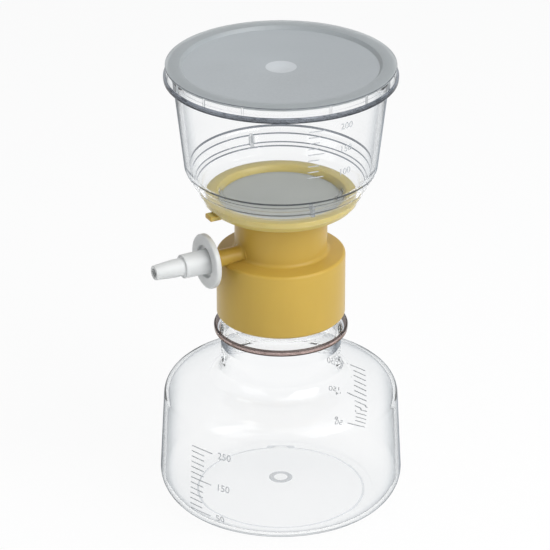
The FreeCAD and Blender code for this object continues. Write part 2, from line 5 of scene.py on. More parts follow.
import bpy
from bpy.props import FloatProperty, FloatVectorProperty, IntProperty
from bpy.types import Operator, Panel, PropertyGroup
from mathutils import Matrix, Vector


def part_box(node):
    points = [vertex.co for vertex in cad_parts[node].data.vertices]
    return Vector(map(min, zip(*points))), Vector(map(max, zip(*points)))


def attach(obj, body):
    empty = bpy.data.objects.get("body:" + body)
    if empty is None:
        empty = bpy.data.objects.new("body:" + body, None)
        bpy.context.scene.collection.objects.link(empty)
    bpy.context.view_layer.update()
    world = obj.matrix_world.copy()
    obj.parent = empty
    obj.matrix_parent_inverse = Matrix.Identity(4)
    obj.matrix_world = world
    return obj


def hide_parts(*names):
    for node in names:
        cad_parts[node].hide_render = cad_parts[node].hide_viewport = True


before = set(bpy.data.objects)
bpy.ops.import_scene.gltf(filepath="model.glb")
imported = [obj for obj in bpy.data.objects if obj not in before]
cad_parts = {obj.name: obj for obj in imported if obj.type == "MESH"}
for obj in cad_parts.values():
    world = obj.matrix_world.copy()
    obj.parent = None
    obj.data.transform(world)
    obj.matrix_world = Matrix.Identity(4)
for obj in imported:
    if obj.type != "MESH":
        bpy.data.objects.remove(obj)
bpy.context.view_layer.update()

bl_info = {
    "name": "Vacuum filtration unit",
    "version": (1, 0, 0),
    "blender": (4, 5, 0),
    "location": "View3D > Sidebar > Filter unit",
    "description": "Models and finishes a bottle-top vacuum filter on its packed frame",
    "category": "Object",
}

MM = 0.001
WELD = 0.005 * MM  # points closer than this are one point
OVERLAP = 0.2 * MM  # how far pieces reach into each other before they are joined
BOXES = {node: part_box(node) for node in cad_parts}


def top(node):
    """Level of a node's upper end."""
    return BOXES[node][1].z


def bottom(node):
    """Level of a node's lower end."""
    return BOXES[node][0].z


def radius(node):
    """Radius of a round node about the Z axis."""
    return BOXES[node][1].y


# ---------------------------------------------------------------- settings
def length(name, mm, description):
    """A length setting whose default is given in millimetres."""
    return FloatProperty(
        name=name, description=description, default=mm * MM, unit="LENGTH", precision=5
    )


def angle(name, degrees, description):
    """An angle setting whose default is given in degrees."""
    return FloatProperty(
        name=name, description=description, default=math.radians(degrees), unit="ROTATION"
    )


def number(name, value, description, **more):
    """A plain number setting."""
    return FloatProperty(name=name, description=description, default=value, **more)


def colour(name, red, green, blue, description):
    """A colour setting whose default is given as display values from 0 to 255."""
    linear = [((c / 255 + 0.055) / 1.055) ** 2.4 for c in (red, green, blue)]
    return FloatVectorProperty(
        name=name, description=description, default=linear, subtype="COLOR", size=3, min=0, max=1
    )


class ReceiverSizes(PropertyGroup):
    """Sizes of the receiver bottle."""

    heel_round: length("Heel round", 11.8, "Radius of the round at the bottle's heel")
    foot_width: length("Foot width", 3.2, "Width of the flat ring that it stands on")
    foot_round: length("Foot round", 3.0, "Rounds at the foot ring's inner edge")
    foot_lean: angle("Foot lean", 17, "Steepest slope at the foot ring's inner edge")
    push_up: length("Push-up", 3.6, "Height of the bottom's middle")
    gate_ring_r: length("Gate ring radius", 3.8, "Radius of the moulded ring in the bottom")
    gate_ring_width: length("Gate ring width", 2.2, "Width of the moulded ring")
    gate_ring_depth: length("Gate ring depth", 0.3, "How deep the ring is set in the bottom")
    side_taper: length("Side taper", 1.8, "How much the side draws in towards the shoulder")
    side_top_z: length("Side height", 45.0, "Height where the shoulder's round begins")
    shoulder_round: length("Shoulder round", 8.0, "Radius of the shoulder's outer round")
    crown_round: length("Crown round", 40.0, "Radius of the shoulder's arched top")
    root_round: length("Neck root round", 4.7, "Hollow round at the foot of the neck")
    wall: length("Wall", 1.8, "Thickness of the bottle's wall")
    neck_r: length("Neck radius", 24.6, "Radius of the neck below the bead")
    neck_height: length("Neck height", 15.6, "Straight neck below the bead")
    root_drop: length("Shaded neck", 6.2, "How far below the bead the neck looks dark")
    bead_reach: length("Bead reach", 2.8, "How far the bead stands out from the neck")
    bead_height: length("Bead height", 2.7, "Height of the bead")
    bead_round: length("Bead round", 0.75, "Radius of the bead's edges")
    bead_root: length("Bead root", 1.2, "Hollow round between the bead and the neck")
    finish_r: length("Finish radius", 21.0, "Radius of the threaded neck, without threads")
    finish_wall: length("Finish wall", 1.9, "Wall of the threaded neck")
    rim_round: length("Rim round", 0.6, "Radius of the rim's edges")
    thread_depth: length("Thread depth", 1.2, "How far the thread stands out")
    thread_pitch: length("Thread pitch", 4.2, "Rise of the thread in one turn")
    thread_start: length("Thread start", 15.5, "From the rim down to the thread's start")
    thread_turns: number("Thread turns", 1.75, "Turns of the neck's thread")


class CollarSizes(PropertyGroup):
    """Sizes of the yellow collar moulding."""

    thread_room: length("Thread room", 1.75, "From the bottle's finish to the collar's bore")
    thread_turns: number("Thread turns", 1.25, "Turns of the thread in the collar")
    wall: length("Collar wall", 3.45, "Wall of the screw collar")
    chamfer: length("Lower chamfer", 1.1, "Chamfer round the collar's lower edge")
    edge_round: length("Shoulder edge", 1.3, "Round at the shoulder's outer edge")
    shoulder_drop: length("Shoulder drop", 25.7, "From the flange's top to the shoulder")
    shoulder_rise: length("Shoulder rise", 0.7, "Slope of the shoulder towards the neck")
    tube_r: length("Neck radius", 18.8, "Outer radius of the hollow neck")
    tube_wall: length("Neck wall", 2.0, "Wall of the hollow neck")
    tube_round: length("Neck root round", 1.7, "Hollow round at the foot of the neck")
    plate_drop: length("Plate drop", 3.0, "From the shoulder down to the plate under it")
    seat_play: length("Seat play", 0.1, "Play between the gasket and its seat")
    seat_overlap: length("Seat overlap", 0.8, "How far the seat reaches inside the bottle's bore")
    seat_width: length("Seat width", 2.9, "Width of the seat on the gasket")
    flange_height: length("Flange edge", 2.0, "Height of the flange's straight edge")
    lip_run: length("Flange lip run", 1.2, "How far the flange draws in below its edge")
    lip_drop: length("Flange lip drop", 3.9, "From the flange's top to where that ends")
    cup_run: length("Flange cup run", 2.4, "How far the flange draws in to its cup")
    cup_drop: length("Flange cup drop", 4.7, "From the flange's top to its cup")
    cup_foot: length("Flange cup foot", 7.9, "From the flange's top to the foot of its cup")
    mouth_run: length("Recess mouth run", 1.0, "Width of the slope round the membrane's recess")
    mouth_drop: length("Recess mouth drop", 2.0, "Height of that slope")
    grid_play: length("Grid play", 0.4, "Play round the support grid")
    ledge_width: length("Ledge width", 2.8, "Ledge that carries the support grid")
    bowl_depth: length("Bowl depth", 5.4, "Fall of the collecting cone")
    bowl_wall: length("Bowl wall", 1.8, "Wall of the collecting cone")
    drip_bore_r: length("Drip bore", 3.2, "Bore radius of the drip tube")
    drip_wall: length("Drip wall", 1.6, "Wall of the drip tube")
    drip_reach: length("Drip reach", 3.4, "How far the drip tube reaches below the gasket")
    arm_r: length("Side arm radius", 3.5, "Outer radius of the side arm")
    arm_bore_r: length("Side arm bore", 1.9, "Bore radius of the side arm")
    arm_flare: length("Side arm flare", 1.4, "Hollow round where the arm leaves the neck")
    arm_chamfer: length("Side arm chamfer", 0.4, "Chamfer at the side arm's end")
    tab_width: length("Tab width", 5.0, "Width of the tab under the flange")
    tab_height: length("Tab height", 2.0, "Thickness of the tab under the flange")
    tab_root: length("Tab root", 2.8, "How far the tab reaches in from the flange's edge")
    tab_reach: length("Tab reach", 2.2, "How far the tab stands out of the flange's edge")
    tab_drop: length("Tab drop", 5.3, "From the flange's top to the tab's underside")
    small_round: length("Small rounds", 0.3, "Rounds of the moulding's other edges")
    tab_round: length("Tab rounds", 0.35, "Rounds of the tab's edges")


class ChamberSizes(PropertyGroup):
    """Sizes of the clear upper chamber."""

    wall: length("Wall", 1.5, "Thickness of the chamber's wall")
    bead: length("Rim bead", 0.6, "How far the rim's bead stands out")
    bead_height: length("Rim bead height", 2.1, "Height of the rim's bead")
    skirt_height: length("Skirt height", 2.0, "How far the skirt covers the flange's edge")
    skirt_wall: length("Skirt wall", 0.6, "Thickness of the skirt")
    skirt_play: length("Skirt play", 0.1, "Play between the skirt and the flange")
    clamp_width: length("Clamp ring", 1.6, "Width of the ring that clamps the membrane")
    clamp_play: length("Clamp play", 0.2, "How far the clamp ring reaches past the membrane")
    floor_wall: length("Floor", 1.4, "Thickness of the chamber's floor")
    floor_rise: length("Floor rise", 0.6, "Height of the first step's outer corner")
    tread_run: length("Tread run", 1.7, "Width of a step")
    tread_rise: length("Tread rise", 0.9, "Slope of a step")
    riser_run: length("Riser run", 0.8, "Lean of the wall between two steps")
    riser_rise: length("Riser rise", 3.5, "Height of the wall between two steps")
    wall_foot_run: length("Wall foot run", 0.6, "Lean of the wall's foot")
    wall_foot_rise: length("Wall foot rise", 2.0, "Height of the wall's foot")
    edge_round: length("Edge rounds", 0.6, "Rounds of the steps' edges")
    # painted shade: a grey band painted where the chamber's wall begins
    fold_shade_line: length("Fold line", 0.9, "Height of the grey fold where the wall begins")
    seat_gap: length("Seat gap", 0.05, "Play between the floor and the flange under it")
    foot_rib_width: length("Foot rib", 1.6, "Width of the upright ribs on the steps")
    foot_rib_turn: angle("Foot rib turn", 82, "Angle of the first upright rib")
    foot_rib_round: length("Foot rib rounds", 0.3, "Rounds of the upright ribs' edges")


class LidSizes(PropertyGroup):
    """Sizes of the clear lid."""

    band: length("Rim band", 1.3, "Thickness of the raised band round the rim")
    band_width: length("Rim band width", 5.8, "Width of the raised band")
    recess: length("Recess", 1.5, "How far the disc lies below the band")
    recess_slope: length("Recess slope", 1.1, "How far the recess's wall leans in")
    clear_edge: length("Clear edge", 0.8, "Width of the clear edge outside the frosted band")
    disc: length("Disc", 1.2, "Thickness of the disc")
    skirt_wall: length("Skirt wall", 1.2, "Thickness of the skirt")
    lip: length("Skirt lip", 0.8, "How far the skirt's lip stands out")
    lip_height: length("Skirt lip height", 2.2, "Height of the skirt's lip")
    plug_gap: length("Plug gap", 0.6, "Play of the plug inside the chamber's rim")
    dimple_r: length("Dimple radius", 6.2, "Radius of the dimple in the middle")
    dimple_depth: length("Dimple depth", 0.9, "Depth of the dimple in the middle")
    # painted highlight: the pale spot in the dimple's middle
    highlight_r: length("Pale spot", 5.27, "Radius of the dimple's pale middle")
    step: length("Step", 0.5, "Size of the plug's and the lip's small steps")
    edge_round: length("Edge rounds", 0.45, "Rounds of the lid's edges")
    rib_round: length("Rib rounds", 0.15, "Rounds of the grip ribs' edges")
    rib_width: length("Rib width", 0.8, "Width of a grip rib inside the skirt")
    rib_gap: length("Rib gap", 0.3, "Play between a rib and the chamber's rim")
    rib_groups: IntProperty(
        name="Rib groups", description="Groups of three ribs round the skirt", default=4, min=1
    )
    rib_pitch: angle("Rib pitch", 22.5, "Angle between the ribs of a group")
    rib_turn: angle("Rib turn", 20, "Angle from the side arm to the first group's middle")


class AdaptorSizes(PropertyGroup):
    """Sizes of the hose adaptor."""

    socket_r: length("Socket radius", 3.58, "Bore of the socket that takes the side arm")
    socket_depth: length("Socket depth", 10.2, "Depth of the socket")
    disc_height: length("Disc thickness", 2.4, "Thickness of the grip disc")
    disc_round: length("Disc round", 0.7, "Round of the grip disc's edges")
    groove_width: length("Groove width", 1.7, "Groove in the disc round the barrel")
    groove_depth: length("Groove depth", 1.5, "Depth of the groove round the barrel")
    groove_draft: length("Groove draft", 0.3, "How far the groove narrows towards its bottom")
    edge_round: length("Edge rounds", 0.28, "Rounds of the other edges")
    barrel_r: length("Barrel radius", 5.08, "Radius of the barrel at the disc")
    barrel_taper: length("Barrel taper", 0.2, "How much the barrel draws in")
    nozzle_length: length("Nozzle length", 12.5, "From the barrel to the tip")
    nozzle_land: length("Nozzle land", 4.0, "Straight part at the nozzle's root")
    nozzle_root_r: length("Nozzle root", 3.7, "Radius of the nozzle at its root")
    nozzle_tip_r: length("Nozzle tip", 3.0, "Radius of the nozzle at its tip")
    nozzle_bore_r: length("Nozzle bore", 1.9, "Bore radius of the nozzle")


class MarkSizes(PropertyGroup):
    """Sizes and places of the graduation marks."""

    proud: length("Mark height", 0.12, "Half the thickness of a mark")
    stroke: length("Mark stroke", 0.4, "Width of a mark's line")
    bottle_turn: angle("Bottle scale turn", 194.3, "Angle of the bottle's first scale")
    bottle_first: length("Bottle scale start", 9.5, "Height of its lowest mark")
    bottle_pitch: length("Bottle scale pitch", 2.36, "Rise from mark to mark on the bottle")
    bottle_short: length("Bottle short mark", 7.0, "Length of the bottle's short marks")
    bottle_long: length("Bottle long mark", 11.0, "Length of the bottle's long marks")
    bottle_gap: length("Bottle figure gap", 2.5, "From a long mark to its figure")
    bottle_figure: length("Bottle figures", 4.2, "Height of the bottle's figures")
    chamber_turn: angle("Chamber scale turn", 257, "Angle of the chamber's scale")
    chamber_first: length("Chamber scale start", 159.3, "Height of its lowest mark")
    chamber_pitch: length("Chamber scale pitch", 2.55, "Rise from mark to mark on the chamber")
    chamber_short: length("Chamber short mark", 4.5, "Length of the chamber's short marks")
    chamber_long: length("Chamber long mark", 6.5, "Length of the chamber's long marks")
    chamber_gap: length("Chamber figure gap", 7.0, "From a long mark to its figure")
    chamber_figure: length("Chamber figures", 4.0, "Height of the chamber's figures")
    chamber_lift: length("Chamber mark lift", 0.1, "How far the marks clear the wall's foot")


class Finishes(PropertyGroup):
    """Colours of the materials."""

    yellow: colour("Collar yellow", 188, 157, 72, "Body colour of the collar moulding")
    # painted sheen: a paler yellow for the clear chamber's veil over the flange
    flange: colour("Flange yellow", 196, 178, 105, "Flange, paler under the clear skirt")
    adaptor: colour("Adaptor white", 204, 206, 206, "Body colour of the hose adaptor")
    # painted shade: a grey tone for the white membrane in the shade under the lid
    membrane: colour("Membrane", 166, 169, 165, "Colour of the filter membrane")
    haze: colour("Lid haze", 163, 169, 173, "Colour of the lid's frosted disc")
    band: colour("Lid band", 165, 171, 174, "Colour of the lid's raised band")
    # painted highlight: the paler tone in the dimple's middle
    dimple: colour("Lid dimple", 190, 195, 199, "Colour of the dimple in the lid's middle")
    marks: colour("Scale marks", 190, 194, 198, "Colour of the graduation marks")
    # painted shade: the dark tone of thick edges, folds and the lid's lip
    edge: colour("Plastic edge", 84, 90, 100, "Shade of the clear plastic's thick edges")
    # painted reflection: the bead's pink-brown tint stands in for the collar mirrored in it
    bead: colour("Bead", 150, 120, 112, "Tint of the neck's bead, which mirrors the collar")
    gasket: colour("Gasket", 205, 204, 198, "Colour of the bottle gasket")
    grid: colour("Support grid", 214, 214, 208, "Colour of the membrane's support")
    cotton: colour("Cotton", 236, 236, 231, "Colour of the cotton plug")
    floor: colour("Floor", 246, 247, 248, "Colour of the floor")


class StageSettings(PropertyGroup):
    """Camera, floor and light."""

    distance: length("Camera distance", 1330, "Level distance from the axis to the camera")
    height: length("Camera height", 742, "Height of the camera above the floor")
    azimuth: angle("Camera azimuth", -28, "Turn of the camera round the object")
    aim_z: length("Aim height", 98.8, "Height that the camera looks at")
    aim_left: length("Aim to the left", 2.4, "How far left of the axis the camera looks")
    lens: number("Lens", 237.8, "Focal length of the camera", subtype="DISTANCE_CAMERA")
    key: number("Key light", 24.0, "Power of the main light", unit="POWER")
    fill: number("Fill light", 3.5, "Power of the side light", unit="POWER")
    top: number("Top light", 7.0, "Power of the light above", unit="POWER")
    room: number("Room light", 0.2, "Strength of the world", min=0)


GROUPS = {
    "filter_receiver": ReceiverSizes,
    "filter_collar": CollarSizes,
    "filter_chamber": ChamberSizes,
    "filter_lid": LidSizes,
    "filter_adaptor": AdaptorSizes,
    "filter_marks": MarkSizes,
    "filter_finishes": Finishes,
    "filter_stage": StageSettings,
}


# ---------------------------------------------------------------- modelling helpers
SHARP = math.radians(35)  # edges that turn more than this are rounded
CREASE = math.radians(32)  # and those that turn more than this stay sharp in the shading
ARC_STEP = math.radians(9)  # longest step of an arc in a section


def start_fresh():
    """Leaves edit mode and deselects every object."""
    if bpy.context.object and bpy.context.object.mode != "OBJECT":
        bpy.ops.object.mode_set(mode="OBJECT")
    bpy.ops.object.select_all(action="DESELECT")


def take_up(piece):
    """Makes a piece the only selected object."""
    start_fresh()
    piece.select_set(True)
    bpy.context.view_layer.objects.active = piece


def name_piece(name):
    """Names the new active object and settles its place in its mesh."""
    piece = bpy.context.object
    piece.name = piece.data.name = name
    bpy.ops.object.transform_apply(location=True, rotation=True, scale=True)
    return piece


def settle(piece, move=(0, 0, 0), turn=(0, 0, 0)):
    """Turns and then moves a piece, and settles that in its mesh."""
    take_up(piece)
    piece.location, piece.rotation_euler = move, turn
    bpy.ops.object.transform_apply(location=True, rotation=True, scale=True)


def add_block(name, low, high):
    """A block between two opposite corners."""
    low, high = Vector(low), Vector(high)
    start_fresh()
    bpy.ops.mesh.primitive_cube_add(size=1, location=(low + high) / 2, scale=high - low)
    return name_piece(name)


def draw_section(name, steps):
    """A new object, in edit mode, that holds a closed section. A step is the corner that
    it ends at, (r, z), or for an arc (r, z, centre r, centre z), the shorter way round."""
    start_fresh()
    r, z = steps[-1][:2]
    bpy.ops.mesh.primitive_plane_add(size=MM, location=(r, 0, z))
    piece = name_piece(name)
    bpy.ops.object.mode_set(mode="EDIT")
    bpy.ops.mesh.select_all(action="SELECT")
    bpy.ops.mesh.merge(type="CENTER")
    for step in steps:
        next_r, next_z = step[:2]
        if len(step) == 2:
            move = {"value": (next_r - r, 0, next_z - z)}
            bpy.ops.mesh.extrude_vertices_move(TRANSFORM_OT_translate=move)
        else:
            centre_r, centre_z = step[2:]
            first = math.atan2(z - centre_z, r - centre_r)
            last = math.atan2(next_z - centre_z, next_r - centre_r)
            angle = (last - first + math.pi) % math.tau - math.pi
            count = max(2, math.ceil(abs(angle) / ARC_STEP))
            centre = (centre_r, 0, centre_z)
            bpy.ops.mesh.spin(steps=count, angle=angle, center=centre, axis=(0, 1, 0))
        r, z = next_r, next_z
    bpy.ops.mesh.select_all(action="SELECT")
    bpy.ops.mesh.remove_doubles(threshold=WELD)
    return piece


def turn_section(name, steps, segments=144):
    """A closed section spun once round the Z axis."""
    piece = draw_section(name, steps)
    bpy.ops.mesh.spin(steps=segments, angle=math.tau, center=(0, 0, 0), axis=(0, 0, 1))
    bpy.ops.mesh.select_all(action="SELECT")
    bpy.ops.mesh.remove_doubles(threshold=WELD)
    bpy.ops.mesh.normals_make_consistent(inside=False)
    bpy.ops.object.mode_set(mode="OBJECT")
    return piece


def apply_modifier(piece, kind, **settings):
    """Adds a modifier with its settings and applies it."""
    take_up(piece)
    bpy.ops.object.modifier_add(type=kind)
    modifier = piece.modifiers[-1]
    for key, value in settings.items():
        setattr(modifier, key, value)
    bpy.ops.object.modifier_apply(modifier=modifier.name)


def ease_edges(piece, width, segments=2):
    """Rounds a piece's sharp edges."""
    apply_modifier(
        piece, "BEVEL", width=width, segments=segments, limit_method="ANGLE", angle_limit=SHARP
    )


def combine(piece, other, operation):
    """Adds another closed piece to this one, or cuts it away."""
    apply_modifier(piece, "BOOLEAN", object=other, operation=operation, solver="EXACT")
    bpy.data.objects.remove(other)


def smooth(piece):
    """Shades a piece smooth up to its sharper edges."""
    take_up(piece)
    bpy.ops.object.shade_smooth_by_angle(angle=CREASE, keep_sharp_edges=False)


def copy_turned(piece, angle):
    """A copy of a piece, with its own mesh, turned round the Z axis."""
    copy = piece.copy()
    copy.data = piece.data.copy()
    bpy.context.collection.objects.link(copy)
    settle(copy, turn=(0, 0, angle))
    return copy


def join(pieces):
    """Joins several objects into the first."""
    take_up(pieces[0])
    for piece in pieces[1:]:
        piece.select_set(True)
    bpy.ops.object.join()
    return pieces[0]


def mend_normals(piece):
    """Turns a closed piece's faces outwards."""
    take_up(piece)
    bpy.ops.object.mode_set(mode="EDIT")
    bpy.ops.mesh.select_all(action="SELECT")
    bpy.ops.mesh.normals_make_consistent(inside=False)
    bpy.ops.object.mode_set(mode="OBJECT")


FOOT_SHARE, CREST_SHARE = 0.24, 0.13  # half widths of a thread's foot and crest, by its pitch
THREAD_SINK = 0.25 * MM  # how far a thread's foot reaches into its wall
THREAD_STEPS = 96  # in one turn
FADE = math.radians(35)  # over which a thread's height comes and goes


def thread_ridge(name, root_r, crest_r, start_z, pitch, turns):
    """A helical ridge from root_r to crest_r whose height fades out at both ends."""
    sunk_r = root_r - math.copysign(THREAD_SINK, crest_r - root_r)
    piece = draw_section(name, [
        (sunk_r, start_z - FOOT_SHARE * pitch),
        (crest_r, start_z - CREST_SHARE * pitch),
        (crest_r, start_z + CREST_SHARE * pitch),
        (sunk_r, start_z + FOOT_SHARE * pitch),
    ])
    bpy.ops.object.mode_set(mode="OBJECT")
    full = math.tau * turns
    steps = round(THREAD_STEPS * turns)
    apply_modifier(
        piece, "SCREW", axis="Z", angle=full, screw_offset=pitch * turns, steps=steps,
        render_steps=steps,
    )
    faded_r = (sunk_r + root_r) / 2
    for vertex in piece.data.vertices:
        flat_r = math.hypot(vertex.co.x, vertex.co.y)
        if abs(flat_r - crest_r) < WELD:
            level = (vertex.co.z - start_z) / pitch * math.tau
            angle = math.atan2(vertex.co.y, vertex.co.x)
            turned = angle + math.tau * round((level - angle) / math.tau)
            share = min(1.0, max(0.0, min(turned, full - turned) / FADE))
            new_r = faded_r + (crest_r - faded_r) * share
            vertex.co.x *= new_r / flat_r
            vertex.co.y *= new_r / flat_r
    take_up(piece)
    bpy.ops.object.mode_set(mode="EDIT")
    bpy.ops.mesh.select_all(action="DESELECT")
    bpy.ops.mesh.select_non_manifold()
    bpy.ops.mesh.edge_face_add()
    bpy.ops.object.mode_set(mode="OBJECT")
    mend_normals(piece)
    return piece


def wrap_on_side(piece, polar, side_radius):
    """Lays a flat piece, drawn in X (along) and Z (up), on a round wall at an angle."""
    for vertex in piece.data.vertices:
        along, out, up = vertex.co
        r = side_radius(up)
        angle = polar + along / r
        vertex.co = Vector(((r + out) * math.cos(angle), (r + out) * math.sin(angle), up))


def paint(piece, choose):
    """Gives each face the material slot that choose(radius, level) names."""
    for face in piece.data.polygons:
        face.material_index = choose(math.hypot(face.center.x, face.center.y), face.center.z)


# ---------------------------------------------------------------- materials
# kinds of ray that show a surface to the eye, and kinds that only light others
SEEN = ("Is Camera Ray", "Is Glossy Ray", "Is Transmission Ray")
LIT = ("Is Shadow Ray", "Is Diffuse Ray")
# noise patterns: scale, detail and squash
FLOW = (60, 2.0, (1, 1, 0.25))
POOL = (26, 1.5)
FLOOR_CLOUD = (8, 2.0)
RIM_SHADE, RIM_END = (0.24, 0.27, 0.3), 0.94  # painted dark shade on a clear wall's rim, and where it is full
FLOOR_GLOW = 0.88  # how much of its white the floor gives by itself


def connect(tree, node, sockets):
    """Sets a node's inputs, each to a plain value or to another node's output."""
    for key, value in sockets.items():
        if isinstance(value, bpy.types.NodeSocket):
            tree.links.new(value, node.inputs[key])
        else:
            node.inputs[key].default_value = value
    return node


def add(tree, kind, sockets):
    """A new node with its inputs set."""
    return connect(tree, tree.nodes.new("ShaderNode" + kind), sockets)


def calculate(tree, operation, first, second):
    """The outcome of a sum on two numbers."""
    node = add(tree, "Math", {0: first, 1: second})
    node.operation = operation
    return node.outputs["Value"]


def ray_is(tree, *kinds):
    """1 for rays of any of these kinds, else 0."""
    light = tree.nodes.new("ShaderNodeLightPath")
    found = light.outputs[kinds[0]]
    for kind in kinds[1:]:
        found = calculate(tree, "MAXIMUM", found, light.outputs[kind])
    return found


def mixed(tree, share, first, second):
    """A shader that turns into a second one as share runs from 0 to 1."""
    return add(tree, "MixShader", {0: share, 1: first, 2: second}).outputs["Shader"]


def noise(tree, scale, detail=3.0, squash=(1, 1, 1)):
    """A noise pattern on Object coordinates."""
    place = tree.nodes.new("ShaderNodeTexCoord").outputs["Object"]
    mapping = add(tree, "Mapping", {"Vector": place, "Scale": squash}).outputs["Vector"]
    pattern = add(tree, "TexNoise", {"Vector": mapping, "Scale": scale, "Detail": detail})
    return pattern.outputs["Fac"]


def between(tree, factor, low, high, start=0.3, end=0.7, kind="LINEAR"):
    """A number that runs from low to high as a factor runs from start to end."""
    spread = add(tree, "MapRange", {
        "Value": factor, "From Min": start, "From Max": end, "To Min": low, "To Max": high,
    })
    spread.interpolation_type = kind
    return spread.outputs["Result"]


def ramp(tree, factor, stops):
    """A colour that runs through stops of (position, colour)."""
    node = add(tree, "ValToRGB", {"Fac": factor})
    elements = node.color_ramp.elements
    for element, (position, shade) in zip(elements, (stops[0], stops[-1])):
        element.position, element.color = position, (*shade, 1)
    for position, shade in stops[1:-1]:
        elements.new(position).color = (*shade, 1)
    return node.outputs["Color"]


def tinted(tree, factor, base, low, high):
    """A colour that runs between two shades of base with a pattern."""
    shades = [tuple(min(1, c * share) for c in base) for share in (low, high)]
    return ramp(tree, factor, ((0.3, shades[0]), (0.7, shades[1])))


def bump(tree, shader, height, strength, distance):
    """Gives a shader fine relief from a pattern."""
    relief = add(tree, "Bump", {"Height": height, "Strength": strength, "Distance": distance})
    connect(tree, shader, {"Normal": relief.outputs["Normal"]})


def new_material(name):
    """A new material, its node tree and its main shader."""
    material = bpy.data.materials.new(name)
    material.use_nodes = True
    return material, material.node_tree, material.node_tree.nodes["Principled BSDF"]


def show(tree, shader):
    """Makes a shader the material's surface."""
    connect(tree, tree.nodes["Material Output"], {"Surface": shader})


def let_light_through(tree, shader, passed=0.97):
    """Lets lamps and soft light pass a clear surface unbent."""
    gap = add(tree, "BsdfTransparent", {"Color": (passed, passed, passed, 1)})
    show(tree, mixed(tree, ray_is(tree, *LIT), shader, gap.outputs["BSDF"]))


def clear_plastic(name, shades, rim_start=0.78, rim_share=0.85, bend=1.12, gloss=0.15):
    """Clear moulded polystyrene: faint flow lines, a glossy skin, painted grey shade where its wall
    is seen edge on, and open to light and shade. shades run from face on to edge on."""
    material, tree, shader = new_material(name)
    flow = noise(tree, *FLOW)
    facing = add(tree, "LayerWeight", {"Blend": 0.5}).outputs["Facing"]
    connect(tree, shader, {
        "Base Color": ramp(tree, facing, shades), "Roughness": between(tree, flow, 0.0, 0.03),
        "Transmission Weight": 1.0, "IOR": bend,
        "Coat Weight": gloss, "Coat IOR": 1.5, "Coat Roughness": 0.04,
    })
    bump(tree, shader, flow, 0.06, 0.0004)
    # painted shade: a dark diffuse skin mixed in where the wall is seen edge on
    rim = add(tree, "BsdfDiffuse", {"Color": (*RIM_SHADE, 1)})
    share = between(tree, facing, 0.0, rim_share, rim_start, RIM_END, "SMOOTHSTEP")
    let_light_through(tree, mixed(tree, share, shader.outputs["BSDF"], rim.outputs["BSDF"]))
    return material


def plastic_edge(name, base, thin, thick, bend=1.12):
    """The same plastic with painted shade on a fold or a thick edge, in softly changing depth."""
    material, tree, shader = new_material(name)
    pool = noise(tree, *POOL)
    connect(tree, shader, {
        "Base Color": tinted(tree, pool, base, thin, thick),
        "Roughness": between(tree, pool, 0.02, 0.1),
        "Transmission Weight": 0.75, "IOR": bend, "Coat Weight": 0.3, "Coat Roughness": 0.05,
    })
    bump(tree, shader, pool, 0.05, 0.0003)
    let_light_through(tree, shader.outputs["BSDF"])
    return material


def solid(name, base, tint, cloud, relief, grain=None, rough=None, sockets=None, passed=None):
    """A dense finish. Its colour follows a cloud pattern and its relief a grain, each given
    as scale, detail and squash; rough is the pattern that roughness follows and its ends."""
    material, tree, shader = new_material(name)
    patterns = {"cloud": noise(tree, *cloud)}
    patterns["grain"] = noise(tree, *grain) if grain else patterns["cloud"]
    connect(tree, shader, sockets or {})
    connect(tree, shader, {"Base Color": tinted(tree, patterns["cloud"], base, *tint)})
    if rough:
        pattern, low, high = rough
        connect(tree, shader, {"Roughness": between(tree, patterns[pattern], low, high)})
    bump(tree, shader, patterns["grain"], *relief)
    if passed:
        let_light_through(tree, shader.outputs["BSDF"], passed)
    return material


def floor_paint(name, base):
    """Pale floor that looks white to the camera and in glass, and keeps a soft shadow."""
    material, tree, shader = new_material(name)
    connect(tree, shader, {
        "Base Color": (*base, 1), "Specular IOR Level": 0.0,
        "Roughness": between(tree, noise(tree, *FLOOR_CLOUD), 0.88, 0.94),
    })
    glow = add(tree, "Emission", {"Color": (1, 1, 1, 1)})
    share = calculate(tree, "MULTIPLY", ray_is(tree, *SEEN), FLOOR_GLOW)
    show(tree, mixed(tree, share, shader.outputs["BSDF"], glow.outputs["Emission"]))
    return material


# shades: painted shade on a clear wall, as how much it lets through, from seen face on (0) to edge
# on (1)
CLEAR = {
    "shades": (
        (0.3, (0.98, 0.983, 0.985)), (0.54, (0.945, 0.952, 0.957)), (0.61, (0.86, 0.876, 0.888)),
        (0.68, (0.69, 0.715, 0.735)), (0.77, (0.46, 0.49, 0.515)), (1.0, (0.3, 0.33, 0.36)),
    ),
}
THIN = {
    "shades": (
        (0.5, (0.975, 0.98, 0.983)), (0.75, (0.93, 0.94, 0.946)), (1.0, (0.8, 0.82, 0.83)),
    ),
    "rim_start": 0.9, "rim_share": 0.1, "bend": 1.03, "gloss": 0.6,
}
# painted shade: dark drops where the neck's wall below the bead is seen edge on
NECK_SHADE = {
    "shades": (
        (0.3, (0.96, 0.967, 0.972)), (0.42, (0.8, 0.82, 0.84)), (0.52, (0.3, 0.33, 0.37)),
        (0.62, (0.05, 0.06, 0.075)), (1.0, (0.02, 0.025, 0.03)),
    ),
    "rim_start": 0.55, "rim_share": 0.95,
}
# softly glossy plastic
YELLOW = {
    "tint": (0.95, 1.04), "cloud": (45, 3.0, (1, 1, 0.4)), "grain": (1400, 3.0),
    "rough": ("cloud", 0.3, 0.38), "relief": (0.12, 0.00012),
    "sockets": {
        "Subsurface Weight": 0.12, "Subsurface Radius": (1.0, 0.6, 0.2),
        "Subsurface Scale": 0.002, "Specular IOR Level": 0.25,
    },
}
# waxy polypropylene
ADAPTOR = {
    "tint": (0.95, 1.02), "cloud": (90, 3.0), "grain": (1800, 3.0),
    "rough": ("grain", 0.36, 0.46), "relief": (0.1, 0.0001),
    "sockets": {
        "Subsurface Weight": 0.25, "Subsurface Radius": (1.0, 1.0, 0.95),
        "Subsurface Scale": 0.0015,
    },
}
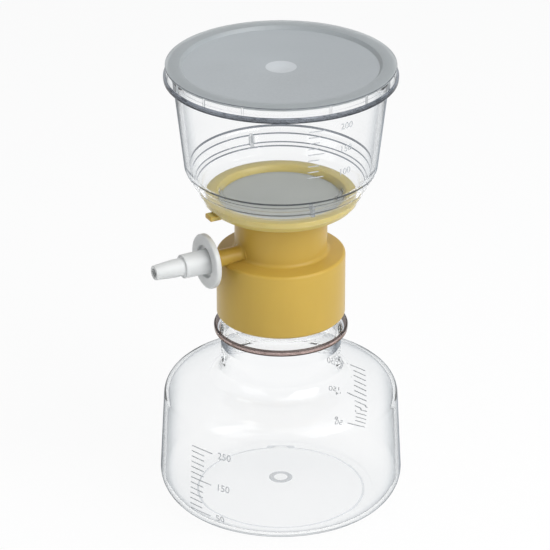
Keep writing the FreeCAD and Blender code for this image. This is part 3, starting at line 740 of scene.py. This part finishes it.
# clear plastic with a fine frost that turns it pale grey
FROST = {
    "tint": (0.96, 1.03), "cloud": (22, 2.0), "grain": (900, 4.0),
    "rough": ("grain", 0.3, 0.42), "relief": (0.15, 0.0002), "passed": 0.92,
    "sockets": {"Transmission Weight": 0.1, "IOR": 1.5},
}
FROSTED_BAND = {**FROST, "sockets": {"Transmission Weight": 0.45, "IOR": 1.5}}
# matte microporous paper, in a grey tone that is painted shade
MEMBRANE = {
    "tint": (0.96, 1.03), "cloud": (70, 3.0), "grain": (2600, 6.0), "relief": (0.35, 0.0001),
    "sockets": {"Roughness": 0.85},
}
# rubber with a fine bloom
RUBBER = {
    "tint": (0.9, 1.04), "cloud": (320, 5.0), "rough": ("cloud", 0.55, 0.75),
    "relief": (0.2, 0.0001),
}
GRID = {
    "tint": (0.95, 1.03), "cloud": (120, 3.0), "rough": ("cloud", 0.35, 0.5),
    "relief": (0.1, 0.0001),
}
# loose fibres, drawn out along the side arm
COTTON = {
    "tint": (0.8, 1.05), "cloud": (1500, 8.0, (0.25, 1, 1)), "relief": (0.8, 0.0004),
    "sockets": {"Roughness": 1.0, "Sheen Weight": 0.4},
}
# frosted moulded marks
MARKS = {
    "tint": (0.85, 1.15), "cloud": (700, 4.0), "rough": ("cloud", 0.5, 0.7),
    "relief": (0.2, 0.0001), "sockets": {"Alpha": 0.75},
}
# each finish: its maker, its material's name, its tone in the settings, and the rest
FINISHES = {
    "clear": (clear_plastic, "clear_polystyrene", None, CLEAR),
    "thin": (clear_plastic, "clear_thin_steps", None, THIN),
    "neck_root": (clear_plastic, "clear_neck_root", None, NECK_SHADE),
    # painted shade: dark tones on thick edges, the lid's lip and the chamber's fold
    "edge": (plastic_edge, "clear_thick_edge", "edge", {"thin": 1.5, "thick": 0.65}),
    "lip": (plastic_edge, "clear_lip", "edge", {"thin": 0.75, "thick": 0.25}),
    "fold": (plastic_edge, "clear_fold", "edge", {"thin": 1.1, "thick": 0.45}),
    "gate_ring": (
        plastic_edge, "clear_gate_ring", "marks", {"thin": 1.05, "thick": 0.85, "bend": 1.03}
    ),
    "foot_ring": (
        plastic_edge, "clear_foot_ring", "marks", {"thin": 1.6, "thick": 1.25, "bend": 1.03}
    ),
    # painted reflection of the collar in the bead, and painted shade lines at its edges
    "bead": (plastic_edge, "clear_bead", "bead", {"thin": 1.5, "thick": 0.9}),
    "bead_shade": (plastic_edge, "clear_bead_shade", "bead", {"thin": 0.2, "thick": 0.09}),
    "frosted": (solid, "frosted_lid_disc", "haze", FROST),
    "dimple": (solid, "frosted_lid_dimple", "dimple", FROST),
    "frosted_band": (solid, "frosted_lid_band", "band", FROSTED_BAND),
    "yellow": (solid, "collar_yellow", "yellow", YELLOW),
    "flange": (solid, "flange_yellow", "flange", YELLOW),
    "adaptor": (solid, "adaptor_polypropylene", "adaptor", ADAPTOR),
    "membrane": (solid, "filter_membrane", "membrane", MEMBRANE),
    "gasket": (solid, "gasket_rubber", "gasket", RUBBER),
    "grid": (solid, "support_grid_plastic", "grid", GRID),
    "cotton": (solid, "cotton_wool", "cotton", COTTON),
    "marks": (solid, "frosted_marks", "marks", MARKS),
    "floor": (floor_paint, "pale_floor", "floor", {}),
}
MATERIALS = {}  # those made so far, by finish


def finish(name):
    """A material by its finish, made once."""
    if name not in MATERIALS:
        make, title, tone, settings = FINISHES[name]
        tones = [getattr(bpy.context.scene.filter_finishes, tone)] if tone else []
        MATERIALS[name] = make(title, *tones, **settings)
    return MATERIALS[name]


def dress(piece, *finishes):
    """Gives a piece its materials and returns their slots, in order."""
    piece.data.materials.clear()
    for name in finishes:
        piece.data.materials.append(finish(name))
    return range(len(finishes))


def place_on(piece, body, slot, *nodes):
    """Puts a finished piece on its body, in the stead of CAD nodes."""
    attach(piece, body)
    if nodes:
        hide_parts(*nodes)


# ---------------------------------------------------------------- receiver bottle
class FILTER_OT_receiver(Operator):
    """Models the clear receiver bottle with its neck thread"""

    bl_idname = "filter.receiver"
    bl_label = "Receiver bottle"

    def execute(self, context):
        size = context.scene.filter_receiver
        wall = size.wall
        base_r, rim_z = radius("receiver"), top("receiver")
        heel_r = base_r - size.heel_round
        foot_r = heel_r - size.foot_width
        foot, lean = size.foot_round, size.foot_lean
        edge_r = foot_r - foot * math.sin(lean)
        edge_z = foot * (1 - math.cos(lean))
        dome_r = edge_r - foot * math.sin(lean)
        foot_lift = 2 * edge_z
        dome_rise = size.push_up - foot_lift
        dome_round = (dome_r**2 + dome_rise**2) / (2 * dome_rise)
        dome_z = size.push_up - dome_round
        side_r, side_z = base_r - size.side_taper, size.side_top_z
        outer, inner = size.shoulder_round, size.shoulder_round - wall
        shoulder_r = side_r - outer
        crown_r = size.neck_r + size.root_round
        reach, run = size.crown_round - outer, shoulder_r - crown_r
        rise = math.sqrt(reach**2 - run**2)
        turn_r, turn_z = run / reach, rise / reach
        crown_z = side_z - rise
        crown_top = crown_z + size.crown_round
        root_z = crown_top + size.root_round
        bead_z = root_z + size.neck_height
        bead_r = size.neck_r + size.bead_reach
        bead_top = bead_z + size.bead_height
        bead_round, rim_round, root = size.bead_round, size.rim_round, size.bead_root
        bore_r = size.finish_r - size.finish_wall
        neck_bore_r = size.neck_r - wall
        piece = turn_section("receiver_bottle", [
            (0, size.push_up),
            (dome_r, foot_lift, 0, dome_z),
            (edge_r, edge_z, dome_r, foot_lift - foot),
            (foot_r, 0, foot_r, foot),
            (heel_r, 0),
            (base_r, size.heel_round, heel_r, size.heel_round),
            (side_r, side_z),
            (shoulder_r + outer * turn_r, side_z + outer * turn_z, shoulder_r, side_z),
            (crown_r, crown_top, crown_r, crown_z),
            (size.neck_r, root_z, crown_r, root_z),
            # where the painted shade on the neck begins
            (size.neck_r, bead_z - size.root_drop),
            (size.neck_r, bead_z - root),
            (size.neck_r + root, bead_z, size.neck_r + root, bead_z - root),
            (bead_r - bead_round, bead_z),
            (bead_r, bead_z + bead_round, bead_r - bead_round, bead_z + bead_round),
            (bead_r, bead_top - bead_round),
            (bead_r - bead_round, bead_top, bead_r - bead_round, bead_top - bead_round),
            (size.finish_r + root, bead_top),
            (size.finish_r, bead_top + root, size.finish_r + root, bead_top + root),
            (size.finish_r, rim_z - rim_round),
            (size.finish_r - rim_round, rim_z, size.finish_r - rim_round, rim_z - rim_round),
            (bore_r + rim_round, rim_z),
            (bore_r, rim_z - rim_round, bore_r + rim_round, rim_z - rim_round),
            (bore_r, bead_z),
            (neck_bore_r, bead_z - wall),
            (neck_bore_r, root_z),
            (crown_r, crown_top - wall, crown_r, root_z),
            (shoulder_r + inner * turn_r, side_z + inner * turn_z, crown_r, crown_z),
            (side_r - wall, side_z, shoulder_r, side_z),
            (base_r - wall, size.heel_round),
            (heel_r, wall, heel_r, size.heel_round),
            (dome_r, size.push_up - dome_rise + wall),
            (0, size.push_up + wall, 0, dome_z + wall),
        ])
        gate_r, gate_half = size.gate_ring_r, size.gate_ring_width / 2
        gate_z = size.push_up + wall - OVERLAP
        gate_low = gate_z - size.gate_ring_depth
        gate_drop = math.sqrt(size.gate_ring_width**2 - gate_half**2)
        gate = turn_section("gate_ring", [
            (gate_r - gate_half, gate_low),
            (gate_r + gate_half, gate_low),
            (gate_r + gate_half, gate_z),
            (gate_r - gate_half, gate_z, gate_r, gate_z - gate_drop),
        ], segments=64)
        combine(piece, gate, "UNION")
        ridge = thread_ridge(
            "neck_thread", size.finish_r, size.finish_r + size.thread_depth,
            rim_z - size.thread_start, size.thread_pitch, size.thread_turns,
        )
        combine(piece, ridge, "UNION")
        smooth(piece)

        def choose(flat_r, level):
            # painted shade lines on the bead's top and bottom rounds, painted reflection between
            if flat_r > size.neck_r + root and bead_z - root < level < bead_top + WELD:
                shaded = level > bead_top - bead_round or level < bead_z + bead_round
                return shade if shaded else bead
            # painted shade on the neck just below the bead
            if flat_r > size.neck_r - wall / 2 and bead_z - size.root_drop < level < bead_z:
                return neck_root
            if abs(flat_r - gate_r) < gate_half and level > gate_z:
                return gate_ring
            if edge_r < flat_r < foot_r and level < edge_z:
                return foot_ring
            if flat_r < heel_r and level < size.heel_round:
                return thin
            if flat_r < crown_r and level > crown_top - 2 * wall:
                return thin
            return clear

        clear, bead, neck_root, shade, thin, gate_ring, foot_ring = dress(
            piece, "clear", "bead", "neck_root", "bead_shade", "thin", "gate_ring", "foot_ring"
        )
        paint(piece, choose)
        place_on(piece, "receiver", "clear_plastic", "receiver")
        return {"FINISHED"}


# ---------------------------------------------------------------- upper chamber
CORNER_REACH = 1.1  # a step's painted grey shade reaches this many of its rounds from the corner


def chamber_steps(size):
    """Outer corners (r, z) of the chamber's steps, from its skirt up to its wall's foot."""
    tread = (size.tread_run, size.tread_rise)
    riser = (size.riser_run, size.riser_rise)
    wall_foot = (size.wall_foot_run, size.wall_foot_rise)
    skirt_r = radius("collar") + size.skirt_play + size.skirt_wall
    corners = [(skirt_r, top("collar") + size.floor_rise)]
    for run, rise in (tread, riser, tread, riser, tread, wall_foot):
        corners.append((corners[-1][0] + run, corners[-1][1] + rise))
    return corners


class FILTER_OT_chamber(Operator):
    """Models the clear stepped chamber over the membrane"""

    bl_idname = "filter.chamber"
    bl_label = "Upper chamber"

    def foot_rib(self, size, outside):
        """A small upright rib on the outside of the steps, drawn along +X."""
        (low_r, low_z), (under_r, under_z), (over_r, over_z) = outside[2], outside[4], outside[5]
        half = size.foot_rib_width / 2
        high_r, high_z = (under_r + over_r) / 2, (under_z + over_z) / 2
        rib = add_block("foot_rib", (low_r, -half, low_z), (high_r, half, high_z))
        ease_edges(rib, size.foot_rib_round)
        return rib

    def execute(self, context):
        size = context.scene.filter_chamber
        flange_top = top("collar")
        rim_z = top("upper_chamber")
        bead_r = radius("upper_chamber")
        wall_top_r = bead_r - size.bead
        skirt_bore_r = radius("collar") + size.skirt_play
        skirt_r = skirt_bore_r + size.skirt_wall
        clamp_r = radius("membrane") + size.clamp_play
        mouth_r = clamp_r - size.clamp_width
        membrane_z = top("membrane")
        floor_z = flange_top + size.seat_gap
        bead_foot = rim_z - size.bead_height
        outside = chamber_steps(size)
        inside = [(r - size.tread_run, z + size.tread_rise) for r, z in outside]
        fold_r, fold_z = outside[-1]
        # a corner on the straight wall foot where the painted grey shade band begins
        outside.insert(-1, (
            fold_r - size.wall_foot_run * size.fold_shade_line / size.wall_foot_rise,
            fold_z - size.fold_shade_line,
        ))
        piece = turn_section("chamber_funnel", [
            (mouth_r, membrane_z),
            (clamp_r, membrane_z),
            (clamp_r, floor_z),
            (skirt_bore_r, floor_z),
            (skirt_bore_r, flange_top - size.skirt_height),
            (skirt_r, flange_top - size.skirt_height),
            *outside,
            (wall_top_r, bead_foot - size.bead),
            (bead_r, bead_foot),
            (bead_r, rim_z),
            (wall_top_r - size.wall, rim_z),
            *reversed(inside),
            (mouth_r, flange_top + size.floor_wall),
        ])
        ease_edges(piece, size.edge_round, segments=3)

        def choose(flat_r, level):
            # painted shade: grey lines on the steps' corners and a grey band where the wall begins
            for corner_r, corner_z in outside[2:5]:
                if math.hypot(flat_r - corner_r, level - corner_z) < CORNER_REACH * size.edge_round:
                    return edge
            if fold_z - size.fold_shade_line < level < fold_z and flat_r > fold_r - size.wall / 2:
                return fold
            return thin if level < fold_z else clear

        finishes = ("clear", "edge", "fold", "thin", "gate_ring")
        clear, edge, fold, thin, gate_ring = dress(piece, *finishes)
        paint(piece, choose)
        rib = self.foot_rib(size, outside)
        dress(rib, *finishes)
        paint(rib, lambda flat_r, level: gate_ring)
        for turn in (size.foot_rib_turn, size.foot_rib_turn + math.pi):
            combine(piece, copy_turned(rib, turn), "UNION")
        bpy.data.objects.remove(rib)
        smooth(piece)
        place_on(piece, "head", "clear_plastic", "upper_chamber")
        return {"FINISHED"}


# ---------------------------------------------------------------- lid
class FILTER_OT_lid(Operator):
    """Models the clear lid with its frosted disc and grip ribs"""

    bl_idname = "filter.lid"
    bl_label = "Lid"

    def execute(self, context):
        size = context.scene.filter_lid
        chamber = context.scene.filter_chamber
        lid_top = top("lid")
        skirt_bottom = bottom("lid")
        lip_r = radius("lid")
        skirt_r = lip_r - size.lip
        bore_r = skirt_r - size.skirt_wall
        band_under = lid_top - size.band
        disc_top = lid_top - size.recess
        disc_under = disc_top - size.disc
        plug_r = radius("upper_chamber") - chamber.bead - chamber.wall - size.plug_gap
        recess_r = skirt_r - size.band_width
        disc_r = recess_r - size.recess_slope
        step, dip = size.step, size.dimple_depth
        dish = (size.dimple_r**2 + dip**2) / (2 * dip)
        lip_top = skirt_bottom + size.lip_height
        piece = turn_section("lid_cover", [
            (0, disc_under - dip),
            (size.dimple_r, disc_under, 0, disc_under - dip + dish),
            (plug_r - step, disc_under),
            (plug_r, band_under),
            (bore_r, band_under),
            (bore_r, skirt_bottom),
            (lip_r - step / 2, skirt_bottom),
            (lip_r, skirt_bottom + step / 2),
            (lip_r, lip_top - step),
            (skirt_r, lip_top),
            (skirt_r, lid_top),
            (recess_r, lid_top),
            (disc_r, disc_top),
            (size.dimple_r, disc_top),
            (0, disc_top - dip, 0, disc_top - dip + dish),
        ])
        ease_edges(piece, size.edge_round, segments=3)
        half = size.rib_width / 2
        rib = add_block(
            "grip_rib", (-bore_r - size.skirt_wall / 2, -half, skirt_bottom + step),
            (-radius("upper_chamber") - size.rib_gap, half, band_under + step),
        )
        ease_edges(rib, size.rib_round)
        ribs = []
        for group in range(size.rib_groups):
            middle = size.rib_turn + math.tau / size.rib_groups * group
            ribs += [copy_turned(rib, middle + size.rib_pitch * place) for place in (-1, 0, 1)]
        bpy.data.objects.remove(rib)
        combine(piece, join(ribs), "UNION")
        smooth(piece)

        def choose(flat_r, level):
            # painted highlight in the dimple's middle
            if flat_r < size.highlight_r:
                return dimple
            if flat_r < disc_r:
                return frosted
            if flat_r < skirt_r - size.clear_edge and level > disc_under:
                return band
            # painted shade: dark outlines on the lid's top edge and the lip's top, and a darker lip
            if level > lid_top - step or (level > lip_top - step and flat_r > skirt_r):
                return edge
            return lip if level < lip_top and flat_r > skirt_r else clear

        clear, frosted, band, lip, edge, dimple = dress(
            piece, "clear", "frosted", "frosted_band", "lip", "edge", "dimple"
        )
        paint(piece, choose)
        place_on(piece, "lid", "clear_plastic", "lid")
        return {"FINISHED"}


# ---------------------------------------------------------------- collar
POINT_OUT = (0, -math.pi / 2, 0)  # turns what is drawn along Z to point along the side arm
CUT_SPARE = 3.0 * MM  # how far a cutting piece reaches past what it cuts
FLANGE_SHEEN_SPARE = 0.5 * MM  # how far the flange's painted sheen reaches into the recess


class FILTER_OT_collar(Operator):
    """Models the yellow collar with its side arm, tab, drip tube and thread"""

    bl_idname = "filter.collar"
    bl_label = "Collar"

    def execute(self, context):
        size = context.scene.filter_collar
        neck = context.scene.filter_receiver
        low, high = bottom("collar"), top("collar")
        flange_r = radius("collar")
        bore_r = neck.finish_r + size.thread_room
        collar_r = bore_r + size.wall
        shoulder_z = high - size.shoulder_drop
        edge_r, edge_z = collar_r - size.edge_round, shoulder_z - size.edge_round
        foot_r, foot_z = size.tube_r + size.tube_round, shoulder_z + size.shoulder_rise
        tube_z = foot_z + size.tube_round
        plate_z = shoulder_z - size.plate_drop
        seat_z = top("bottle_gasket") + size.seat_play
        seat_bore_r = neck.finish_r - neck.finish_wall - size.seat_overlap
        seat_rib_r = seat_bore_r + size.seat_width
        tube_bore_r = size.tube_r - size.tube_wall
        grid_z = bottom("support_grid")
        recess_r = radius("support_grid") + size.grid_play
        bowl_r = recess_r - size.ledge_width
        drip_r = size.drip_bore_r + size.drip_wall
        drip_z = bottom("bottle_gasket") - size.drip_reach
        slope = size.bowl_depth / (bowl_r - size.drip_bore_r)
        cone_z = grid_z - size.bowl_wall
        half = size.tube_wall / 2
        piece = turn_section("collar_moulding", [
            (bore_r, low),
            (collar_r - size.chamfer, low),
            (collar_r, low + size.chamfer),
            (collar_r, edge_z),
            (edge_r, shoulder_z, edge_r, edge_z),
            (foot_r, foot_z),
            (size.tube_r, tube_z, foot_r, tube_z),
            (size.tube_r, high - size.cup_foot),
            (flange_r - size.cup_run, high - size.cup_drop),
            (flange_r - size.lip_run, high - size.lip_drop),
            (flange_r, high - size.flange_height),
            (flange_r, high),
            (recess_r + size.mouth_run, high),
            (recess_r, high - size.mouth_drop),
            (recess_r, grid_z),
            (bowl_r, grid_z),
            (size.drip_bore_r, grid_z - size.bowl_depth),
            (size.drip_bore_r, drip_z),
            (drip_r, drip_z),
            (drip_r, cone_z - slope * (bowl_r - drip_r)),
            (tube_bore_r, cone_z - slope * (bowl_r - tube_bore_r)),
            (tube_bore_r, plate_z + half),
            (seat_bore_r, plate_z - half),
            (seat_bore_r, seat_z),
            (seat_rib_r, seat_z),
            (seat_rib_r, plate_z),
            (bore_r, plate_z),
        ])
        ease_edges(piece, size.small_round)

        arm_z = (BOXES["tubing_adaptor"][0].z + BOXES["tubing_adaptor"][1].z) / 2
        reach = -BOXES["collar"][0].x
        root = tube_bore_r + half
        foot, flare = size.tube_r - OVERLAP, size.arm_flare
        arm = turn_section("side_arm", [
            (0, root),
            (size.arm_r + flare, root),
            (size.arm_r + flare, foot),
            (size.arm_r, foot + flare, size.arm_r + flare, foot + flare),
            (size.arm_r, reach - size.arm_chamfer),
            (size.arm_r - size.arm_chamfer, reach),
            (0, reach),
        ], segments=64)
        bore = turn_section("side_arm_bore", [
            (0, tube_bore_r - CUT_SPARE),
            (size.arm_bore_r, tube_bore_r - CUT_SPARE),
            (size.arm_bore_r, reach + CUT_SPARE),
            (0, reach + CUT_SPARE),
        ], segments=64)
        for tube in (arm, bore):
            settle(tube, (0, 0, arm_z), POINT_OUT)
        combine(piece, arm, "UNION")
        combine(piece, bore, "DIFFERENCE")

        tab_z = high - size.tab_drop
        half = size.tab_width / 2
        tab = add_block(
            "flange_tab", (-flange_r - size.tab_reach, -half, tab_z),
            (-flange_r + size.tab_root, half, tab_z + size.tab_height),
        )
        ease_edges(tab, size.tab_round, segments=3)
        combine(piece, tab, "UNION")
        ridge = thread_ridge(
            "collar_thread", bore_r, bore_r - neck.thread_depth,
            top("receiver") - neck.thread_start + neck.thread_pitch / 2, neck.thread_pitch,
            size.thread_turns,
        )
        join([piece, ridge])
        smooth(piece)

        def choose(flat_r, level):
            # painted sheen: the paler yellow on the flange under the clear chamber
            on_flange = level > high - size.cup_drop and flat_r < flange_r + WELD
            return flange if on_flange and flat_r > recess_r - FLANGE_SHEEN_SPARE else yellow

        yellow, flange = dress(piece, "yellow", "flange")
        paint(piece, choose)
        place_on(piece, "head", "yellow_plastic", "collar")
        return {"FINISHED"}


# ---------------------------------------------------------------- hose adaptor
class FILTER_OT_adaptor(Operator):
    """Models the push-on hose adaptor"""

    bl_idname = "filter.adaptor"
    bl_label = "Hose adaptor"

    def execute(self, context):
        size = context.scene.filter_adaptor
        low, high = BOXES["tubing_adaptor"]
        disc_r = (high.y - low.y) / 2
        start, end = -high.x, -low.x
        axis_z = (low.z + high.z) / 2
        barrel_end = end - size.nozzle_length
        disc_end = start + size.disc_height
        round_r = size.disc_round
        groove_r = size.barrel_r + size.groove_width
        groove_z = disc_end - size.groove_depth
        piece = turn_section("hose_adaptor", [
            (size.socket_r, start),
            (disc_r - round_r, start),
            (disc_r, start + round_r, disc_r - round_r, start + round_r),
            (disc_r, disc_end - round_r),
            (disc_r - round_r, disc_end, disc_r - round_r, disc_end - round_r),
            (groove_r, disc_end),
            (groove_r - size.groove_draft, groove_z),
            (size.barrel_r, groove_z),
            (size.barrel_r - size.barrel_taper, barrel_end),
            (size.nozzle_root_r, barrel_end),
            (size.nozzle_root_r, barrel_end + size.nozzle_land),
            (size.nozzle_tip_r, end),
            (size.nozzle_bore_r, end),
            (size.nozzle_bore_r, start + size.socket_depth),
            (size.socket_r, start + size.socket_depth),
        ], segments=96)
        ease_edges(piece, size.edge_round, segments=3)
        settle(piece, (0, 0, axis_z), POINT_OUT)
        smooth(piece)
        dress(piece, "adaptor")
        place_on(piece, "adaptor", "adaptor_plastic", "tubing_adaptor")
        return {"FINISHED"}


# ---------------------------------------------------------------- graduation marks
# the figures up a scale, and how many marks lie from one to the next
BOTTLE_FIGURES, BOTTLE_EVERY = ("50", "150", "250"), 6
CHAMBER_FIGURES, CHAMBER_EVERY = ("100", "150", "200"), 4
FIGURE_DROP = 0.35  # how far a figure stands below its mark, by its height
MARK_EASE = 0.3  # a mark's eased edge, by its thickness


def tick(width, stroke, proud, level):
    """One flat mark with eased edges, drawn in X and Z, with its left end at 0."""
    start_fresh()
    bpy.ops.mesh.primitive_cube_add(
        size=1, location=(width / 2, 0, level), scale=(width, 2 * proud, stroke)
    )
    piece = name_piece("mark")
    ease = MARK_EASE * min(proud, stroke)
    apply_modifier(piece, "BEVEL", width=ease, segments=2, limit_method="NONE")
    return piece


def figure(text, tall, proud, place):
    """A number as a thin mesh, drawn in X and Z, with its lower left corner at a place."""
    start_fresh()
    bpy.ops.object.text_add()
    label = bpy.context.object.data
    label.body, label.size, label.extrude, label.resolution_u = text, tall, proud, 4
    bpy.ops.object.convert(target="MESH")
    piece = name_piece("figure")
    settle(piece, place, (math.pi / 2, 0, 0))
    return piece


def scale_marks(name, wall, polar, side_radius, figures, every):
    """A ladder of marks up a round wall, with figures beside the long ones. wall is what
    its sizes are called after."""
    size = bpy.context.scene.filter_marks
    first, pitch, short, long, gap, tall = (
        getattr(size, f"{wall}_{part}")
        for part in ("first", "pitch", "short", "long", "gap", "figure")
    )
    parts = []
    for index in range((len(figures) - 1) * every + 1):
        level = first + index * pitch
        is_long = index % every == 0
        parts.append(tick(long if is_long else short, size.stroke, size.proud, level))
        if is_long:
            place = (long + gap, 0, level - FIGURE_DROP * tall)
            parts.append(figure(figures[index // every], tall, size.proud / 2, place))
    piece = join(parts)
    piece.name = piece.data.name = name
    wrap_on_side(piece, polar, side_radius)
    mend_normals(piece)
    return piece


class FILTER_OT_marks(Operator):
    """Models the graduation marks on the bottle and the chamber"""

    bl_idname = "filter.marks"
    bl_label = "Graduation marks"

    def execute(self, context):
        size = context.scene.filter_marks
        bottle, chamber = context.scene.filter_receiver, context.scene.filter_chamber
        base_r, heel = radius("receiver"), bottle.heel_round
        fold_r, fold_z = chamber_steps(chamber)[-1]
        foot_r = fold_r + size.chamber_lift
        rim_r, rim_z = radius("upper_chamber") - chamber.bead, top("upper_chamber")

        def bottle_radius(z):
            if z < heel:
                return base_r - heel + math.sqrt(heel**2 - (heel - z) ** 2)
            return base_r - bottle.side_taper * min(1, (z - heel) / (bottle.side_top_z - heel))

        def chamber_radius(z):
            return foot_r + (rim_r - foot_r) * (z - fold_z) / (rim_z - fold_z)

        bottle_ladder = (bottle_radius, BOTTLE_FIGURES, BOTTLE_EVERY)
        chamber_ladder = (chamber_radius, CHAMBER_FIGURES, CHAMBER_EVERY)
        for name, body, wall, turn, ladder in (
            ("bottle_scale", "receiver", "bottle", size.bottle_turn, bottle_ladder),
            ("bottle_scale_far", "receiver", "bottle", size.bottle_turn - math.pi, bottle_ladder),
            ("chamber_scale", "head", "chamber", size.chamber_turn, chamber_ladder),
        ):
            piece = scale_marks(name, wall, turn, *ladder)
            dress(piece, "marks")
            place_on(piece, body, "clear_plastic")
        return {"FINISHED"}


# ---------------------------------------------------------------- carried-over pieces
class FILTER_OT_inner_pieces(Operator):
    """Finishes the membrane, its support, the gasket and the cotton plug"""

    bl_idname = "filter.inner_pieces"
    bl_label = "Membrane, grid, gasket and plug"

    def execute(self, context):
        finishes = {
            "membrane": "membrane", "support_grid": "grid",
            "bottle_gasket": "gasket", "cotton_plug": "cotton",
        }
        for node, name in finishes.items():
            dress(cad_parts[node], name)
        return {"FINISHED"}


# ---------------------------------------------------------------- stage
# each lamp's place, in metres towards the camera, to the right and up, and its size
LAMPS = {
    "key": ((0.8, 1.0, 1.0), (1.3, 1.3)),
    "fill": ((0.6, -0.9, 0.6), (1.0, 1.0)),
    "top": ((0.1, 0.35, 1.5), (1.2, 0.8)),
}
LAMP_AIM = Vector((0, 0, 0.1))
FLOOR_R, CLIP_END = 6, 20  # how far the floor and the camera reach
COLOUR_A, COLOUR_B, COLOUR_OUT = 6, 7, 2  # colour sockets of a Mix node
WHITE, PALE_GREY, SKY_GREY = (1, 1, 1), (0.9, 0.9, 0.9), (0.5, 0.53, 0.56)
SKY_TOP = 0.35  # height, on a unit sphere, where the sky is fully grey


def add_aimed(name, data, place, target):
    """A lamp or camera at a place, turned to a target."""
    thing = bpy.data.objects.new(name, data)
    bpy.context.scene.collection.objects.link(thing)
    thing.location = place
    thing.rotation_euler = (target - place).to_track_quat("-Z", "Y").to_euler()
    return thing


def area_light(name, size, power):
    """Settings of a rectangular lamp."""
    data = bpy.data.lights.new(name, "AREA")
    data.shape = "RECTANGLE"
    data.size, data.size_y = size
    data.energy = power
    return data


def studio(strength):
    """A world that lights evenly. The camera and glossy skins see it as pale grey, and
    what is seen through glass goes from white at the horizon to grey above."""
    world = bpy.data.worlds.new("studio")
    world.use_nodes = True
    tree = world.node_tree
    room = {"Color": (*WHITE, 1), "Strength": strength}
    room = connect(tree, tree.nodes["Background"], room).outputs["Background"]
    way = tree.nodes.new("ShaderNodeTexCoord").outputs["Generated"]
    height = add(tree, "SeparateXYZ", {"Vector": way}).outputs["Z"]
    view = tree.nodes.new("ShaderNodeMix")
    view.data_type = "RGBA"
    connect(tree, view, {
        0: calculate(tree, "SUBTRACT", 1, ray_is(tree, "Is Transmission Ray")),
        COLOUR_A: ramp(tree, height, ((0, WHITE), (SKY_TOP, SKY_GREY))),
        COLOUR_B: (*PALE_GREY, 1),
    })
    backdrop = add(tree, "Background", {"Color": view.outputs[COLOUR_OUT]})
    shown = mixed(tree, ray_is(tree, *SEEN), room, backdrop.outputs["Background"])
    connect(tree, tree.nodes["World Output"], {"Surface": shown})
    return world


class FILTER_OT_stage(Operator):
    """Sets the floor, the lights, the world and the camera"""

    bl_idname = "filter.stage"
    bl_label = "Stage"

    def execute(self, context):
        scene, stage = context.scene, context.scene.filter_stage
        start_fresh()
        bpy.ops.mesh.primitive_circle_add(vertices=96, radius=FLOOR_R, fill_type="NGON")
        floor = name_piece("floor")
        dress(floor, "floor")
        scene.world = studio(stage.room)

        side = Vector((math.cos(stage.azimuth), math.sin(stage.azimuth), 0))
        back = Vector((math.sin(stage.azimuth), -math.cos(stage.azimuth), 0))
        for name, ((near, right, up), size) in LAMPS.items():
            lamp = area_light(f"{name}_light", size, getattr(stage, name))
            place = back * near + side * right + Vector((0, 0, up))
            add_aimed(f"{name}_light", lamp, place, LAMP_AIM)

        data = bpy.data.cameras.new("camera")
        data.lens, data.clip_end = stage.lens, CLIP_END
        place = back * stage.distance + Vector((0, 0, stage.height))
        aim = Vector((0, 0, stage.aim_z)) - side * stage.aim_left
        scene.camera = add_aimed("camera", data, place, aim)
        scene.view_settings.view_transform = "Standard"
        return {"FINISHED"}


# ---------------------------------------------------------------- panel and registration
STEPS = (
    FILTER_OT_stage,
    FILTER_OT_receiver,
    FILTER_OT_chamber,
    FILTER_OT_lid,
    FILTER_OT_collar,
    FILTER_OT_adaptor,
    FILTER_OT_marks,
    FILTER_OT_inner_pieces,
)


class FILTER_PT_panel(Panel):
    """Lists the steps and settings of the filter unit"""

    bl_idname = "FILTER_PT_panel"
    bl_label = "Vacuum filtration unit"
    bl_space_type = "VIEW_3D"
    bl_region_type = "UI"
    bl_category = "Filter unit"

    def draw(self, context):
        for step in STEPS:
            self.layout.operator(step.bl_idname)
        for group, kind in GROUPS.items():
            box = self.layout.box()
            box.label(text=kind.__doc__)
            for name in kind.__annotations__:
                box.prop(getattr(context.scene, group), name)


def register():
    """Adds the settings, the steps and the panel."""
    for kind in (*GROUPS.values(), *STEPS, FILTER_PT_panel):
        bpy.utils.register_class(kind)
    for group, kind in GROUPS.items():
        setattr(bpy.types.Scene, group, bpy.props.PointerProperty(type=kind))


def unregister():
    """Takes them out again."""
    for group in GROUPS:
        delattr(bpy.types.Scene, group)
    for kind in reversed((*GROUPS.values(), *STEPS, FILTER_PT_panel)):
        bpy.utils.unregister_class(kind)


def main():
    """Adds the settings and runs every step."""
    register()
    for step in STEPS:
        family, action = step.bl_idname.split(".")
        getattr(getattr(bpy.ops, family), action)()


if __name__ == "__main__":
    main()
